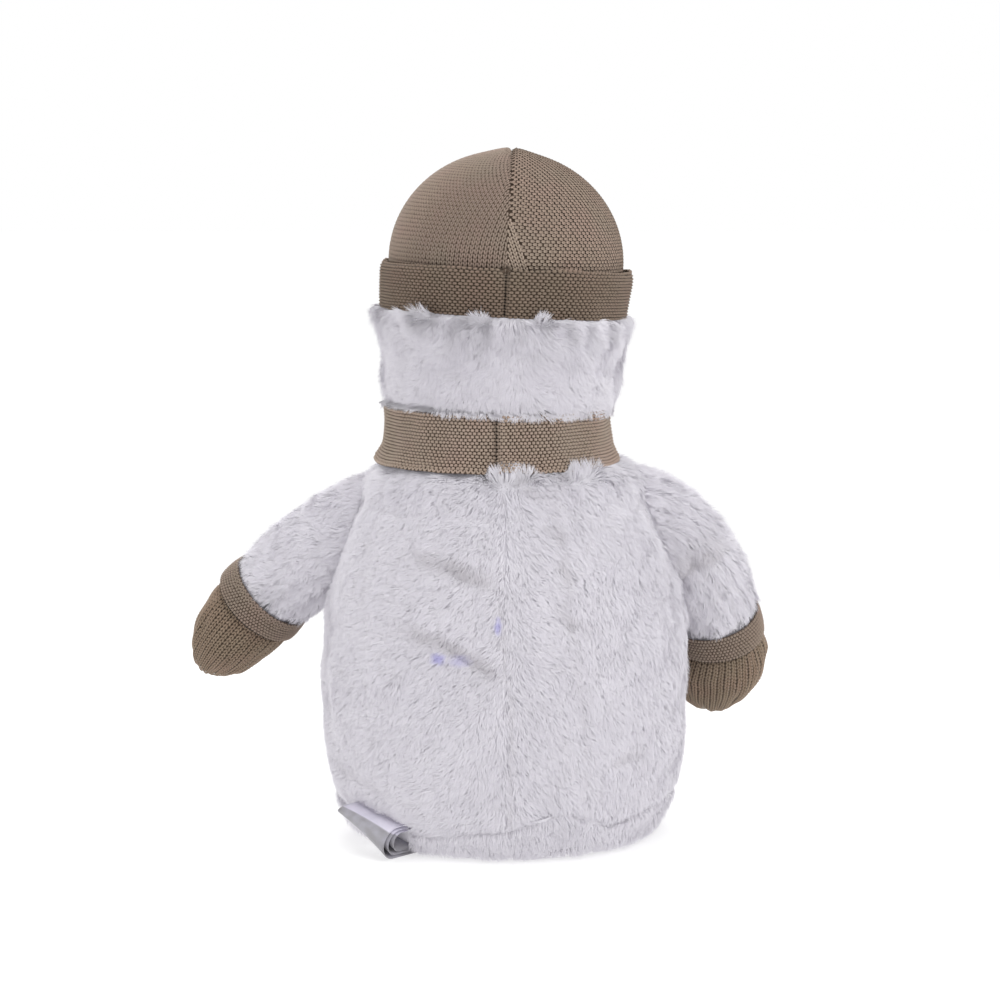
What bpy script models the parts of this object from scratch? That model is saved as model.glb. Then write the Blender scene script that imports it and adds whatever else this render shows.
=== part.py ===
"""A seated stuffed snowman: white fur panels sewn round stuffing, with a knitted hat, scarf and mittens.

The toy faces -Y and stands on its flat base at z = 0. Its left side is +X.
"""

import math

import bmesh
import bpy
import numpy as np
from mathutils import Matrix, Vector

# Sizes are in metres. A profile is a list of (half-width, height) points on the outside of the pile.
SEAM_GAP = 0.0004
STUFFING_GAP = 0.0008
FUR_THICKNESS = 0.009
KNIT_THICKNESS = 0.0022
# Points nearer to each other than this are one point.
MERGE_DISTANCE = 0.00001

# The body is deeper for its width at the shoulders than at the belly.
BELLY_DEPTH = 0.88
SHOULDER_DEPTH = 0.95
BELLY_HEIGHT = 0.110
SHOULDER_HEIGHT = 0.158
BODY_SEGMENTS = 28
HEM_HEIGHT = 0.010
CORE_ABOVE_HEM = 0.001
BASE_THICKNESS = 0.006
BASE_FLAT_RADIUS = 0.059
BASE_RIM = [(BASE_FLAT_RADIUS, 0.0), (0.0655, 0.0028), (0.0705, HEM_HEIGHT)]
BODY_PROFILE = [
    (0.0712, 0.0105),
    (0.0770, 0.0250),
    (0.0801, 0.0500),
    (0.0809, 0.0740),
    (0.0786, 0.1000),
    (0.0725, 0.1250),
    (0.0650, 0.1450),
    (0.0565, 0.1575),
    (0.0480, 0.1632),
    (0.0400, 0.1650),
]
BODY_CORE_TOP = 0.1640
BODY_NECK_RADIUS = 0.030

# The head, hat and face are drawn upright on their own axis and lean together about the neck.
HEAD_DEPTH = 0.96
HEAD_SEGMENTS = 24
NECK_PIVOT = Vector((0.0034, 0.0, 0.1660))
HEAD_LEAN = math.radians(2.7)
HEAD_PROFILE = [
    (0.0400, 0.0035),
    (0.0422, 0.0070),
    (0.0420, 0.0238),
    (0.0498, 0.0264),
    (0.0514, 0.0350),
    (0.0533, 0.0450),
    (0.0556, 0.0545),
    (0.0548, 0.0600),
    (0.0500, 0.0622),
]
HEAD_CORE_PROFILE = [
    (0.0300, 0.0016),
    (0.0338, 0.0060),
    (0.0340, 0.0220),
    (0.0405, 0.0310),
    (0.0438, 0.0440),
    (0.0455, 0.0600),
    (0.0463, 0.0700),
]

CROWN_BASE = 0.0632
CROWN_SPRING = 0.0845
CROWN_RADIUS = 0.0508
CROWN_RISE = 0.0478
CROWN_RIDGE = 0.0014
CROWN_RIDGE_WIDTH = 0.0080
CROWN_SKIRT = [(0.0493, CROWN_BASE), (0.0504, 0.0740)]
# The brim and the scarf are bands whose ends meet in a slit behind: its size, and its middle's height.
SEAM_SLIT = (0.0007, 0.03, 0.06)
BRIM_SEAM_HEIGHT = 0.0750
SCARF_SEAM_HEIGHT = 0.1750
BRIM_OUTER = [(0.0527, 0.0625), (0.0536, 0.0705), (0.0541, 0.0780), (0.0538, 0.0812)]
BRIM_FOLD = [(0.0529, 0.0822), (0.0519, 0.0814)]
BRIM_INNER = [(0.0517, 0.0780), (0.0510, 0.0705), (0.0499, 0.0625)]

SCARF_SEGMENTS = 24
SCARF_OUTER = [(0.0487, 0.1888), (0.0483, 0.1800), (0.0490, 0.1725), (0.0508, 0.1680), (0.0528, 0.1645)]
SCARF_INNER = [(0.0498, 0.1662), (0.0472, 0.1700), (0.0452, 0.1740), (0.0450, 0.1800), (0.0460, 0.1880)]
KNOT_SIZE = (0.0270, 0.0110, 0.0230)
KNOT_CENTRE = Vector((0.0, -0.0508, 0.1730))
KNOT_ROUNDING = 0.0042
TAIL_WIDTH = 0.0220
TAIL_THICKNESS = 0.0032
TAIL_TOP = 0.1590
TAIL_ENDS = (0.1010, 0.1090)
TAIL_SPREAD = (0.0135, 0.0290)

# Each arm is drawn along its own axis and bent along a curve through four control points.
ARM_LENGTH = 0.105
ARM_SEGMENTS = 12
LEFT_ARM = [
    (0.0400, -0.0100, 0.1390),
    (0.0905, -0.0140, 0.1320),
    (0.1260, -0.0315, 0.0760),
    (0.1330, -0.0500, 0.0665),
]
RIGHT_ARM = [
    (-0.0420, -0.0100, 0.1390),
    (-0.0855, -0.0100, 0.1410),
    (-0.1015, -0.0200, 0.0880),
    (-0.0945, -0.0580, 0.0455),
]
# Each hand is wider one way than the other, from the cuff on: how much front to back, and how much sideways.
HAND_SPREAD = {"left": (1.15, 1.0), "right": (0.95, 1.27)}
HAND_STARTS = 0.069
HAND_FULL = 0.080
SLEEVE_OUTER = [(0.0245, 0.0000), (0.0240, 0.0200), (0.0228, 0.0380), (0.0216, 0.0540), (0.0196, 0.0596),
                (0.0165, 0.0614), (0.0160, 0.0640)]
SLEEVE_INNER = [(0.0123, 0.0640), (0.0126, 0.0560), (0.0150, 0.0400), (0.0165, 0.0000)]
MITTEN_OUTER = [(0.0166, 0.0645), (0.0184, 0.0700), (0.0187, 0.0785), (0.0168, 0.0885), (0.0128, 0.0967),
                (0.0066, 0.1027)]
MITTEN_INNER = [(0.0050, 0.1010), (0.0109, 0.0951), (0.0147, 0.0874), (0.0165, 0.0782), (0.0162, 0.0705),
                (0.0130, 0.0645)]
CUFF_OUTER = [(0.0196, 0.0606), (0.0201, 0.0630), (0.0204, 0.0672), (0.0199, 0.0694)]
CUFF_INNER = [(0.0190, 0.0690), (0.0187, 0.0660), (0.0172, 0.0638), (0.0170, 0.0622)]

EYE_RADIUS = 0.0056
EYE_DEPTH = 0.0042
EYE_SPACING = 0.0180
EYE_HEIGHT = 0.0500
NOSE_HEIGHT = 0.0400
NOSE_DROOP = math.radians(8)
NOSE_PROFILE = [(0.0074, -0.0040), (0.0076, 0.0020), (0.0068, 0.0080), (0.0052, 0.0160), (0.0034, 0.0240)]
NOSE_TIP = 0.0290
POCKET_CLEARANCE = 0.0004
BUTTON_RADIUS = 0.0068
BUTTON_THICKNESS = 0.0034
BUTTON_HEIGHTS = (0.1180, 0.0830)
BUTTON_EMBEDDED = 0.0012
# A button stands on a foot that narrows, and its top edge is rounded off.
BUTTON_FOOT = 0.0010
BUTTON_FOOT_SHARE = 0.90
BUTTON_TOP_SHARE = 0.88
BUTTON_ROUNDING = 0.0010

# Three ribbon loops, one inside the other, sewn into the base seam at the back left.
LABEL_ROOT = Vector((0.0375, 0.0400, 0.0006))
LABEL_WIDTH_WAY = Vector((0.70, -0.63, 0.34)).normalized()
LABEL_NOSE_WAY = Vector((0.67, 0.74, 0.0)).normalized()
LABEL_WIDTH = 0.028
LABEL_THICKNESS = 0.0004
LABEL_LOOPS = {
    "label_outer": (0.0220, 0.0058),
    "label_middle": (0.0188, 0.0046),
    "label_inner": (0.0156, 0.0034),
}

# How finely round pieces are drawn, and the angle from which an edge stays sharp.
EYE_SEGMENTS, EYE_RINGS = 14, 8
NOSE_SEGMENTS = 14
BUTTON_SEGMENTS = 16
DOME_STEPS = 7
ARM_STEPS = 64
LABEL_STEPS = 8
TAIL_COLUMNS, TAIL_ROWS = 2, 6
SHARP_FROM = math.radians(35)

MATERIALS = {
    "fur": ((0.86, 0.86, 0.89), 0.85),
    "knit": ((0.25, 0.185, 0.14), 0.90),
    "stuffing": ((0.90, 0.90, 0.90), 1.0),
    "felt": ((0.80, 0.27, 0.06), 0.9),
    "eye": ((0.01, 0.01, 0.012), 0.15),
    "button": ((0.10, 0.07, 0.05), 0.45),
    "ribbon": ((0.86, 0.85, 0.90), 0.35),
}


def clear_scene():
    for obj in list(bpy.data.objects):
        bpy.data.objects.remove(obj)


def make_material(name):
    colour, roughness = MATERIALS[name]
    material = bpy.data.materials.new(name)
    material.use_nodes = True
    shader = material.node_tree.nodes["Principled BSDF"]
    shader.inputs["Base Color"].default_value = (*colour, 1.0)
    shader.inputs["Roughness"].default_value = roughness
    shader.inputs["Metallic"].default_value = 0.0
    return material


def make_collection(name):
    collection = bpy.data.collections.new(name)
    bpy.context.scene.collection.children.link(collection)
    return collection


def smooth_curve(points, per_span=2):
    """Points along a curve that passes smoothly through the given (half-width, height) points."""
    points = [Vector(p) for p in points]
    ends = [2 * points[0] - points[1], *points, 2 * points[-1] - points[-2]]
    curve = []
    for before, start, end, after in zip(ends, ends[1:], ends[2:], ends[3:]):
        for step in range(per_span):
            t = step / per_span
            curve.append(
                0.5
                * (
                    2 * start
                    + (end - before) * t
                    + (2 * before - 5 * start + 4 * end - after) * t**2
                    + (3 * start - before - 3 * end + after) * t**3
                )
            )
    curve.append(points[-1])
    return [tuple(p) for p in curve]


def offset_profile(profile, distance):
    """The profile moved outwards by distance. It climbs from bottom to top with the axis on its left."""
    moved = []
    last = len(profile) - 1
    for i, point in enumerate(profile):
        along = Vector(profile[min(i + 1, last)]) - Vector(profile[max(i - 1, 0)])
        outward = Vector((along.y, -along.x)).normalized()
        moved.append((point[0] + outward.x * distance, point[1] + outward.y * distance))
    return moved


def mesh_object(name, mesh, home, material=None):
    obj = bpy.data.objects.new(name, mesh)
    home.objects.link(obj)
    if material:
        mesh.materials.clear()
        mesh.materials.append(material)
    return obj


def round_depth(_height):
    return 1.0


def head_depth(_height):
    return HEAD_DEPTH


def body_depth(height):
    """How deep the body is for its width, at that height."""
    share = (height - BELLY_HEIGHT) / (SHOULDER_HEIGHT - BELLY_HEIGHT)
    share = min(max(share, 0.0), 1.0)
    return BELLY_DEPTH + (SHOULDER_DEPTH - BELLY_DEPTH) * share * share * (3 - 2 * share)


def turned(name, outline, home, material=None, segments=BODY_SEGMENTS, depth=round_depth):
    """A solid turned about Z from an outline of (radius, height) points, then squeezed front to back."""
    on_axis = abs(outline[0][0]) < MERGE_DISTANCE
    profile = bpy.data.meshes.new(name)
    edges = [(i, i + 1) for i in range(len(outline) - 1)]
    if not on_axis:
        edges.append((len(outline) - 1, 0))
    profile.from_pydata([(x, 0.0, z) for x, z in outline], edges, [])
    spun = bpy.data.objects.new(name, profile)
    bpy.context.scene.collection.objects.link(spun)
    screw = spun.modifiers.new("turn", "SCREW")
    screw.steps = screw.render_steps = segments
    screw.use_merge_vertices = True
    screw.merge_threshold = MERGE_DISTANCE
    graph = bpy.context.evaluated_depsgraph_get()
    mesh = bpy.data.meshes.new_from_object(spun.evaluated_get(graph))
    bpy.data.objects.remove(spun)
    mesh.name = name
    for vertex in mesh.vertices:
        vertex.co.y *= depth(vertex.co.z)
    face_outwards(mesh)
    return mesh_object(name, mesh, home, material)


def face_outwards(mesh):
    shape = bmesh.new()
    shape.from_mesh(mesh)
    bmesh.ops.remove_doubles(shape, verts=shape.verts, dist=MERGE_DISTANCE)
    bmesh.ops.recalc_face_normals(shape, faces=shape.faces)
    shape.to_mesh(mesh)
    shape.free()


def keep_beyond(obj, normal, distance=SEAM_GAP / 2):
    """Cuts the object by a plane near its origin, keeps the side that normal points to and closes the cut."""
    shape = bmesh.new()
    shape.from_mesh(obj.data)
    normal = Vector(normal)
    cut = bmesh.ops.bisect_plane(
        shape,
        geom=[*shape.verts, *shape.edges, *shape.faces],
        dist=MERGE_DISTANCE / 10,
        plane_co=normal * distance,
        plane_no=normal,
        clear_inner=True,
    )
    rim = [item for item in cut["geom_cut"] if isinstance(item, bmesh.types.BMEdge)]
    bmesh.ops.holes_fill(shape, edges=rim, sides=0)
    bmesh.ops.recalc_face_normals(shape, faces=shape.faces)
    shape.to_mesh(obj.data)
    shape.free()
    return obj


def file_in(obj, home, material=None):
    """Moves a new primitive into the collection home and gives it its material."""
    for collection in list(obj.users_collection):
        collection.objects.unlink(obj)
    home.objects.link(obj)
    if material:
        obj.data.materials.clear()
        obj.data.materials.append(material)
    return obj


def cut_away(obj, *cutters):
    """Cuts the solids of cutters out of obj."""
    for cutter in cutters:
        modifier = obj.modifiers.new("clear of " + cutter.name, "BOOLEAN")
        modifier.operation = "DIFFERENCE"
        modifier.object = cutter
    return obj


def make_cutter(obj):
    obj.hide_render = True
    obj.display_type = "WIRE"
    return obj


def lean_with_head(obj):
    """Moves a piece drawn about the head's own axis onto the neck, with the head's lean."""
    obj.rotation_euler = (0.0, -HEAD_LEAN, 0.0)
    obj.location = NECK_PIVOT
    return obj


def width_at(profile, height):
    return float(np.interp(height, [p[1] for p in profile], [p[0] for p in profile]))


def body_front(x, height):
    """The point on the front of the pile at that x and height."""
    width = width_at(BODY_PROFILE, height)
    y = -body_depth(height) * math.sqrt(max(width**2 - x**2, 0.0))
    return Vector((x, y, height))


def make_body(parts, fur, stuffing):
    outer = BODY_PROFILE
    inner = offset_profile(outer, -FUR_THICKNESS)
    wall = outer + inner[::-1]
    for name, sides in {
        "body_back_left": [(1, 0, 0), (0, 1, 0)],
        "body_back_right": [(-1, 0, 0), (0, 1, 0)],
        "body_front": [(0, -1, 0)],
    }.items():
        panel = turned(name, wall, parts, fur, depth=body_depth)
        for side in sides:
            keep_beyond(panel, side)

    rim = smooth_curve(BASE_RIM)
    base = [(0.0, 0.0), *rim]
    base += [(rim[-1][0] - FUR_THICKNESS, rim[-1][1]), (BASE_FLAT_RADIUS, BASE_THICKNESS)]
    base.append((0.0, BASE_THICKNESS))
    turned("body_base", base, parts, fur, depth=body_depth)

    core = offset_profile(outer, -FUR_THICKNESS - SEAM_GAP)
    core = [p for p in core if HEM_HEIGHT + CORE_ABOVE_HEM < p[1] < BODY_CORE_TOP]
    floor = BASE_THICKNESS + SEAM_GAP
    core = [(0.0, floor), (BASE_FLAT_RADIUS - SEAM_GAP, floor), *core]
    core += [(BODY_NECK_RADIUS, BODY_CORE_TOP), (0.0, BODY_CORE_TOP)]
    turned("body_stuffing", core, parts, stuffing, depth=body_depth)


def make_body_cutter(cutters):
    """The whole body's outside, a seam gap larger all round, which trims what is pressed against it."""
    grown = offset_profile(smooth_curve(BASE_RIM)[1:-1] + BODY_PROFILE, SEAM_GAP)
    below = -HEM_HEIGHT
    outline = [(0.0, below), (BASE_FLAT_RADIUS, below), *grown, (0.0, BODY_PROFILE[-1][1] + SEAM_GAP)]
    return make_cutter(turned("body_space", outline, cutters, depth=body_depth))


def make_scarf_cutter(cutters):
    """The space that the neck band takes, which the sleeves' shoulders are pressed aside by."""
    grown = offset_profile(SCARF_OUTER[::-1], SEAM_GAP)
    outline = [(0.0, grown[0][1] - SEAM_GAP), (grown[0][0], grown[0][1] - SEAM_GAP), *grown[1:]]
    outline.append((0.0, grown[-1][1]))
    cutter = turned("scarf_space", outline, cutters, segments=SCARF_SEGMENTS, depth=head_depth)
    cutter.location.x = NECK_PIVOT.x
    return make_cutter(cutter)


def make_head(parts, fur, stuffing):
    top = HEAD_PROFILE[-1][1]
    foot = HEAD_PROFILE[0][1]
    inner = [(w + SEAM_GAP, z) for w, z in HEAD_CORE_PROFILE if foot < z < top]
    inner = [(width_at(HEAD_CORE_PROFILE, foot) + SEAM_GAP, foot), *inner]
    inner.append((width_at(HEAD_CORE_PROFILE, top) + SEAM_GAP, top))
    wall = HEAD_PROFILE + inner[::-1]
    panels = {}
    for name, sides in {
        "head_back_left": [(1, 0, 0), (0, 1, 0)],
        "head_back_right": [(-1, 0, 0), (0, 1, 0)],
        "head_face": [(0, -1, 0)],
    }.items():
        panel = turned(name, wall, parts, fur, HEAD_SEGMENTS, head_depth)
        for side in sides:
            keep_beyond(panel, side)
        panels[name] = lean_with_head(panel)

    core = [(0.0, HEAD_CORE_PROFILE[0][1]), *HEAD_CORE_PROFILE]
    core += dome(CROWN_RADIUS - KNIT_THICKNESS - SEAM_GAP, CROWN_RISE - KNIT_THICKNESS - SEAM_GAP)
    lean_with_head(turned("head_stuffing", core, parts, stuffing, HEAD_SEGMENTS, head_depth))
    return panels["head_face"]


def dome(radius, rise, steps=DOME_STEPS):
    """Half of an ellipse from the crown's spring line up to the axis."""
    quarter = math.pi / 2
    turns = [quarter * i / steps for i in range(steps + 1)]
    return [(radius * math.cos(t) if t < quarter else 0.0, CROWN_SPRING + rise * math.sin(t)) for t in turns]


def make_hat(parts, cutters, knit):
    outer = CROWN_SKIRT + dome(CROWN_RADIUS, CROWN_RISE)
    inner = [(w - KNIT_THICKNESS, z) for w, z in CROWN_SKIRT]
    inner += dome(CROWN_RADIUS - KNIT_THICKNESS, CROWN_RISE - KNIT_THICKNESS)
    for name, side in {"hat_crown_left": (1, 0, 0), "hat_crown_right": (-1, 0, 0)}.items():
        shell = turned(name, outer + inner[::-1], parts, knit, HEAD_SEGMENTS, head_depth)
        raise_ridge(shell)
        keep_beyond(shell, side)
        lean_with_head(shell)

    band = BRIM_OUTER + BRIM_FOLD + BRIM_INNER
    brim = lean_with_head(turned("hat_brim", band, parts, knit, HEAD_SEGMENTS, head_depth))
    cut_away(brim, lean_with_head(back_slit("brim_seam", BRIM_OUTER[0][0], BRIM_SEAM_HEIGHT, cutters)))


def raise_ridge(shell):
    """Lifts the crown along its middle seam into the slight point that sewn gores make."""
    for vertex in shell.data.vertices:
        above = max(vertex.co.z - CROWN_SPRING, 0.0) / CROWN_RISE
        vertex.co.z += CROWN_RIDGE * above * math.exp(-((vertex.co.x / CROWN_RIDGE_WIDTH) ** 2))


def back_slit(name, radius, height, cutters):
    """A thin upright blade across a band at the back, where its two ends are sewn together."""
    bpy.ops.mesh.primitive_cube_add(size=1.0)
    blade = bpy.context.object
    blade.name = name
    blade.data.transform(Matrix.Diagonal((*SEAM_SLIT, 1.0)))
    blade.data.transform(Matrix.Translation((0.0, radius, height)))
    return make_cutter(file_in(blade, cutters))


def make_scarf(body_space, scarf_space, parts, cutters, knit):
    """A knitted band round the neck, drawn through a knot in front that lets two tails hang."""
    band = SCARF_OUTER[::-1] + SCARF_INNER[::-1]
    ring = turned("scarf_band", band, parts, knit, SCARF_SEGMENTS, head_depth)
    ring.location.x = NECK_PIVOT.x
    slit = back_slit("scarf_seam", SCARF_OUTER[0][0], SCARF_SEAM_HEIGHT, cutters)
    slit.location.x = NECK_PIVOT.x
    cut_away(ring, slit)

    bpy.ops.mesh.primitive_cube_add(size=1.0)
    knot = bpy.context.object
    knot.name = "scarf_knot"
    knot.data.transform(Matrix.Diagonal((*KNOT_SIZE, 1.0)))
    knot.location = KNOT_CENTRE
    file_in(knot, parts, knit)
    rounding = knot.modifiers.new("rounding", "BEVEL")
    rounding.width = KNOT_ROUNDING
    rounding.segments = 2
    cut_away(knot, scarf_space)

    for side, name, end in ((1, "scarf_tail_left", TAIL_ENDS[0]), (-1, "scarf_tail_right", TAIL_ENDS[1])):
        cut_away(make_tail(name, side, end, parts, knit), body_space, scarf_space)


def make_tail(name, side, end, parts, knit):
    """A strip that hangs from the knot down the front of the body."""
    bpy.ops.mesh.primitive_grid_add(x_subdivisions=TAIL_COLUMNS, y_subdivisions=TAIL_ROWS, size=1.0)
    tail = bpy.context.object
    tail.name = name
    for vertex in tail.data.vertices:
        share = 0.5 - vertex.co.y
        height = TAIL_TOP + (end - TAIL_TOP) * share
        middle = TAIL_SPREAD[0] + (TAIL_SPREAD[1] - TAIL_SPREAD[0]) * share
        vertex.co = body_front(side * middle + vertex.co.x * TAIL_WIDTH, height)
    wall = tail.modifiers.new("thickness", "SOLIDIFY")
    wall.thickness = TAIL_THICKNESS
    wall.offset = 1.0
    return file_in(tail, parts, knit)


def point_on_arm(controls, share):
    a, b, c, d = (Vector(p) for p in controls)
    rest = 1 - share
    return rest**3 * a + 3 * rest**2 * share * b + 3 * rest * share**2 * c + share**3 * d


def arm_frames(controls, steps=ARM_STEPS):
    """Places along the arm's curve, each with its distance from the root and a frame that doesn't twist."""
    points = [point_on_arm(controls, i / steps) for i in range(steps + 1)]
    distances, frames = [0.0], []
    for a, b in zip(points, points[1:]):
        distances.append(distances[-1] + (b - a).length)
    side = Vector((0.0, 1.0, 0.0))
    for i, point in enumerate(points):
        along = (points[min(i + 1, steps)] - points[max(i - 1, 0)]).normalized()
        side = (side - along * side.dot(along)).normalized()
        frames.append((point, side, along.cross(side)))
    scale = ARM_LENGTH / distances[-1]
    return [d * scale for d in distances], frames


def bend_along(obj, controls, spread):
    """Bends a shape turned about Z so that its axis follows the arm's curve, and widens its hand."""
    distances, frames = arm_frames(controls)
    for vertex in obj.data.vertices:
        x, y, z = vertex.co
        widened = min(max((z - HAND_STARTS) / (HAND_FULL - HAND_STARTS), 0.0), 1.0)
        x *= 1 + (spread[0] - 1) * widened
        y *= 1 + (spread[1] - 1) * widened
        i = min(max(int(np.searchsorted(distances, z)) - 1, 0), len(distances) - 2)
        share = (z - distances[i]) / (distances[i + 1] - distances[i])
        here, there = frames[i], frames[i + 1]
        point, side, up = (a.lerp(b, share) for a, b in zip(here, there))
        vertex.co = point + side * x + up * y
    face_outwards(obj.data)
    return obj


def make_arm(which, controls, spaces, parts, fur, knit, stuffing):
    """A fur sleeve, a knitted mitten and the stuffing inside them both, with a cuff folded over the join."""
    inner_tip = ARM_LENGTH - KNIT_THICKNESS
    sleeve = SLEEVE_OUTER + SLEEVE_INNER
    mitten = [(0.0, inner_tip), *MITTEN_INNER, *MITTEN_OUTER, (0.0, ARM_LENGTH)]
    core = offset_profile((MITTEN_INNER + SLEEVE_INNER)[::-1], -STUFFING_GAP)
    core = [(0.0, 0.0), (core[0][0], 0.0), *core[1:], (0.0, inner_tip - STUFFING_GAP)]
    cuff = CUFF_OUTER + CUFF_INNER
    for name, outline, material in (
        (f"arm_{which}_sleeve", sleeve, fur),
        (f"arm_{which}_stuffing", core, stuffing),
        (f"mitten_{which}", mitten, knit),
        (f"cuff_{which}", cuff, knit),
    ):
        piece = turned(name, outline, parts, material, ARM_SEGMENTS)
        bend_along(piece, controls, HAND_SPREAD[which])
        cut_away(piece, *spaces)


def make_face(face_panel, parts, cutters, eye, felt):
    """Two eyes and a carrot nose, each sunk a little into the pile of the face."""
    for side, name in ((1, "eye_left"), (-1, "eye_right")):
        front = head_front(side * EYE_SPACING, EYE_HEIGHT)
        for copy, grow in ((name, 0.0), (name + "_pocket", POCKET_CLEARANCE)):
            bpy.ops.mesh.primitive_uv_sphere_add(segments=EYE_SEGMENTS, ring_count=EYE_RINGS, radius=1.0)
            dome_eye = bpy.context.object
            dome_eye.name = copy
            size = (EYE_RADIUS + grow, EYE_DEPTH + grow, EYE_RADIUS + grow)
            dome_eye.data.transform(Matrix.Diagonal((*size, 1.0)))
            dome_eye.data.transform(Matrix.Rotation(math.atan2(front.x, -front.y), 4, "Z"))
            dome_eye.data.transform(Matrix.Translation(front))
            lean_with_head(file_in(dome_eye, parts if grow == 0 else cutters, eye))
            if grow:
                cut_away(face_panel, make_cutter(dome_eye))

    aim = Matrix.Rotation(math.pi / 2 + NOSE_DROOP, 4, "X")
    place = Matrix.Translation(head_front(0.0, NOSE_HEIGHT)) @ aim
    for copy, grow in (("nose", 0.0), ("nose_pocket", POCKET_CLEARANCE)):
        side = [(radius + grow, along) for radius, along in NOSE_PROFILE]
        root = NOSE_PROFILE[0][1] - grow
        outline = [(0.0, root), (side[0][0], root), *side[1:], (0.0, NOSE_TIP + grow)]
        carrot = turned(copy, outline, parts if grow == 0 else cutters, felt, NOSE_SEGMENTS)
        carrot.data.transform(place)
        lean_with_head(carrot)
        if grow:
            cut_away(face_panel, make_cutter(carrot))


def head_front(x, height):
    """The point on the face's pile at that x and height, in the head's own frame."""
    width = width_at(HEAD_PROFILE, height)
    return Vector((x, -HEAD_DEPTH * math.sqrt(width**2 - x**2), height))


def make_buttons(body_panel, parts, cutters, material):
    """Two domed buttons, sewn down into the pile of the belly."""
    for name, height in zip(("button_upper", "button_lower"), BUTTON_HEIGHTS):
        below = body_front(0.0, height - BUTTON_RADIUS / 2)
        above = body_front(0.0, height + BUTTON_RADIUS / 2)
        slope = math.atan2(above.y - below.y, BUTTON_RADIUS)
        place = Matrix.Translation(body_front(0.0, height)) @ Matrix.Rotation(math.pi / 2 - slope, 4, "X")
        for copy, grow in ((name, 0.0), (name + "_pocket", POCKET_CLEARANCE)):
            radius, top = BUTTON_RADIUS + grow, BUTTON_THICKNESS - BUTTON_EMBEDDED + grow
            foot = -BUTTON_EMBEDDED - BUTTON_FOOT - grow
            outline = [(0.0, foot), (radius * BUTTON_FOOT_SHARE, foot), (radius, foot + BUTTON_FOOT)]
            outline += [(radius, top - BUTTON_ROUNDING), (radius * BUTTON_TOP_SHARE, top), (0.0, top)]
            button = turned(copy, outline, parts if grow == 0 else cutters, material, BUTTON_SEGMENTS)
            button.data.transform(place)
            if grow:
                cut_away(body_panel, make_cutter(button))


def make_labels(body_space, parts, ribbon):
    """Ribbon loops that leave the base seam, turn over in a round nose and come back under themselves."""
    up = LABEL_NOSE_WAY.cross(LABEL_WIDTH_WAY)
    up = up if up.z > 0 else -up
    for name, (reach, radius) in LABEL_LOOPS.items():
        line = [(0.0, 2 * radius)]
        for step in range(LABEL_STEPS + 1):
            turn = math.pi / 2 - math.pi * step / LABEL_STEPS
            line.append((reach - radius + radius * math.cos(turn), radius + radius * math.sin(turn)))
        line.append((0.0, 0.0))
        lift = LABEL_LOOPS["label_outer"][1] - radius
        edge = [LABEL_ROOT + LABEL_NOSE_WAY * along + up * (height + lift) for along, height in line]
        label = mesh_object(name, extruded_line(name, edge, LABEL_WIDTH_WAY * LABEL_WIDTH), parts, ribbon)
        wall = label.modifiers.new("thickness", "SOLIDIFY")
        wall.thickness = LABEL_THICKNESS
        wall.offset = 0.0
        cut_away(label, body_space)


def extruded_line(name, line, way):
    """The strip that a line of points sweeps when it moves along way."""
    shape = bmesh.new()
    points = [shape.verts.new(point) for point in line]
    edges = [shape.edges.new(ends) for ends in zip(points, points[1:])]
    made = bmesh.ops.extrude_edge_only(shape, edges=edges)
    moved = [item for item in made["geom"] if isinstance(item, bmesh.types.BMVert)]
    bmesh.ops.translate(shape, verts=moved, vec=way)
    mesh = bpy.data.meshes.new(name)
    shape.to_mesh(mesh)
    shape.free()
    return mesh


def shade_round(parts):
    """Shades every piece smooth, except across the edges that turn sharply."""
    for piece in parts.objects:
        piece.data.shade_smooth()
        piece.data.set_sharp_from_angle(angle=SHARP_FROM)


def main():
    clear_scene()
    parts = make_collection("snowman_toy")
    cutters = make_collection("cutters")
    fur, knit, stuffing, felt, eye, button, ribbon = (make_material(name) for name in MATERIALS)
    body_space = make_body_cutter(cutters)
    make_body(parts, fur, stuffing)
    face_panel = make_head(parts, fur, stuffing)
    make_hat(parts, cutters, knit)
    scarf_space = make_scarf_cutter(cutters)
    make_scarf(body_space, scarf_space, parts, cutters, knit)
    spaces = [body_space, scarf_space]
    make_arm("left", LEFT_ARM, spaces, parts, fur, knit, stuffing)
    make_arm("right", RIGHT_ARM, spaces, parts, fur, knit, stuffing)
    make_face(face_panel, parts, cutters, eye, felt)
    make_buttons(bpy.data.objects["body_front"], parts, cutters, button)
    make_labels(body_space, parts, ribbon)
    shade_round(parts)


main()
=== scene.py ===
"""The finish of a seated plush snowman: white fur, a knitted hat, scarf and mittens, and a sewn-in label.

The toy faces -Y and stands at z = 0. Its left side is +X, and the camera looks at its back, from +Y.
"""

import math

import bmesh
import bpy
import numpy as np
from mathutils import Matrix, Vector, kdtree


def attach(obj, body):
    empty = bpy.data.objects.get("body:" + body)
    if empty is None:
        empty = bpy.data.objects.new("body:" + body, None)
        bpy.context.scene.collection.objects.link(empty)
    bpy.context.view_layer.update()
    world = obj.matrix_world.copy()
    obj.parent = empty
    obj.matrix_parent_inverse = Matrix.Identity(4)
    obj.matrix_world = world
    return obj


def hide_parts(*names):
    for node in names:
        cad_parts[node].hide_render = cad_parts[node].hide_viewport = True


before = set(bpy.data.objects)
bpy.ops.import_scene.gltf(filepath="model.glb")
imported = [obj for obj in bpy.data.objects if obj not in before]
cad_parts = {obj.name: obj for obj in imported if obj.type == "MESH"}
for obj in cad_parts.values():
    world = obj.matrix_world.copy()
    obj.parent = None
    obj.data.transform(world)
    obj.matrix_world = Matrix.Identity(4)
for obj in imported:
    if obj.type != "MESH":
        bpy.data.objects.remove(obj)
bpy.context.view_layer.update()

FULL_TURN = 2 * math.pi
TINY = 0.000001

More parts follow.
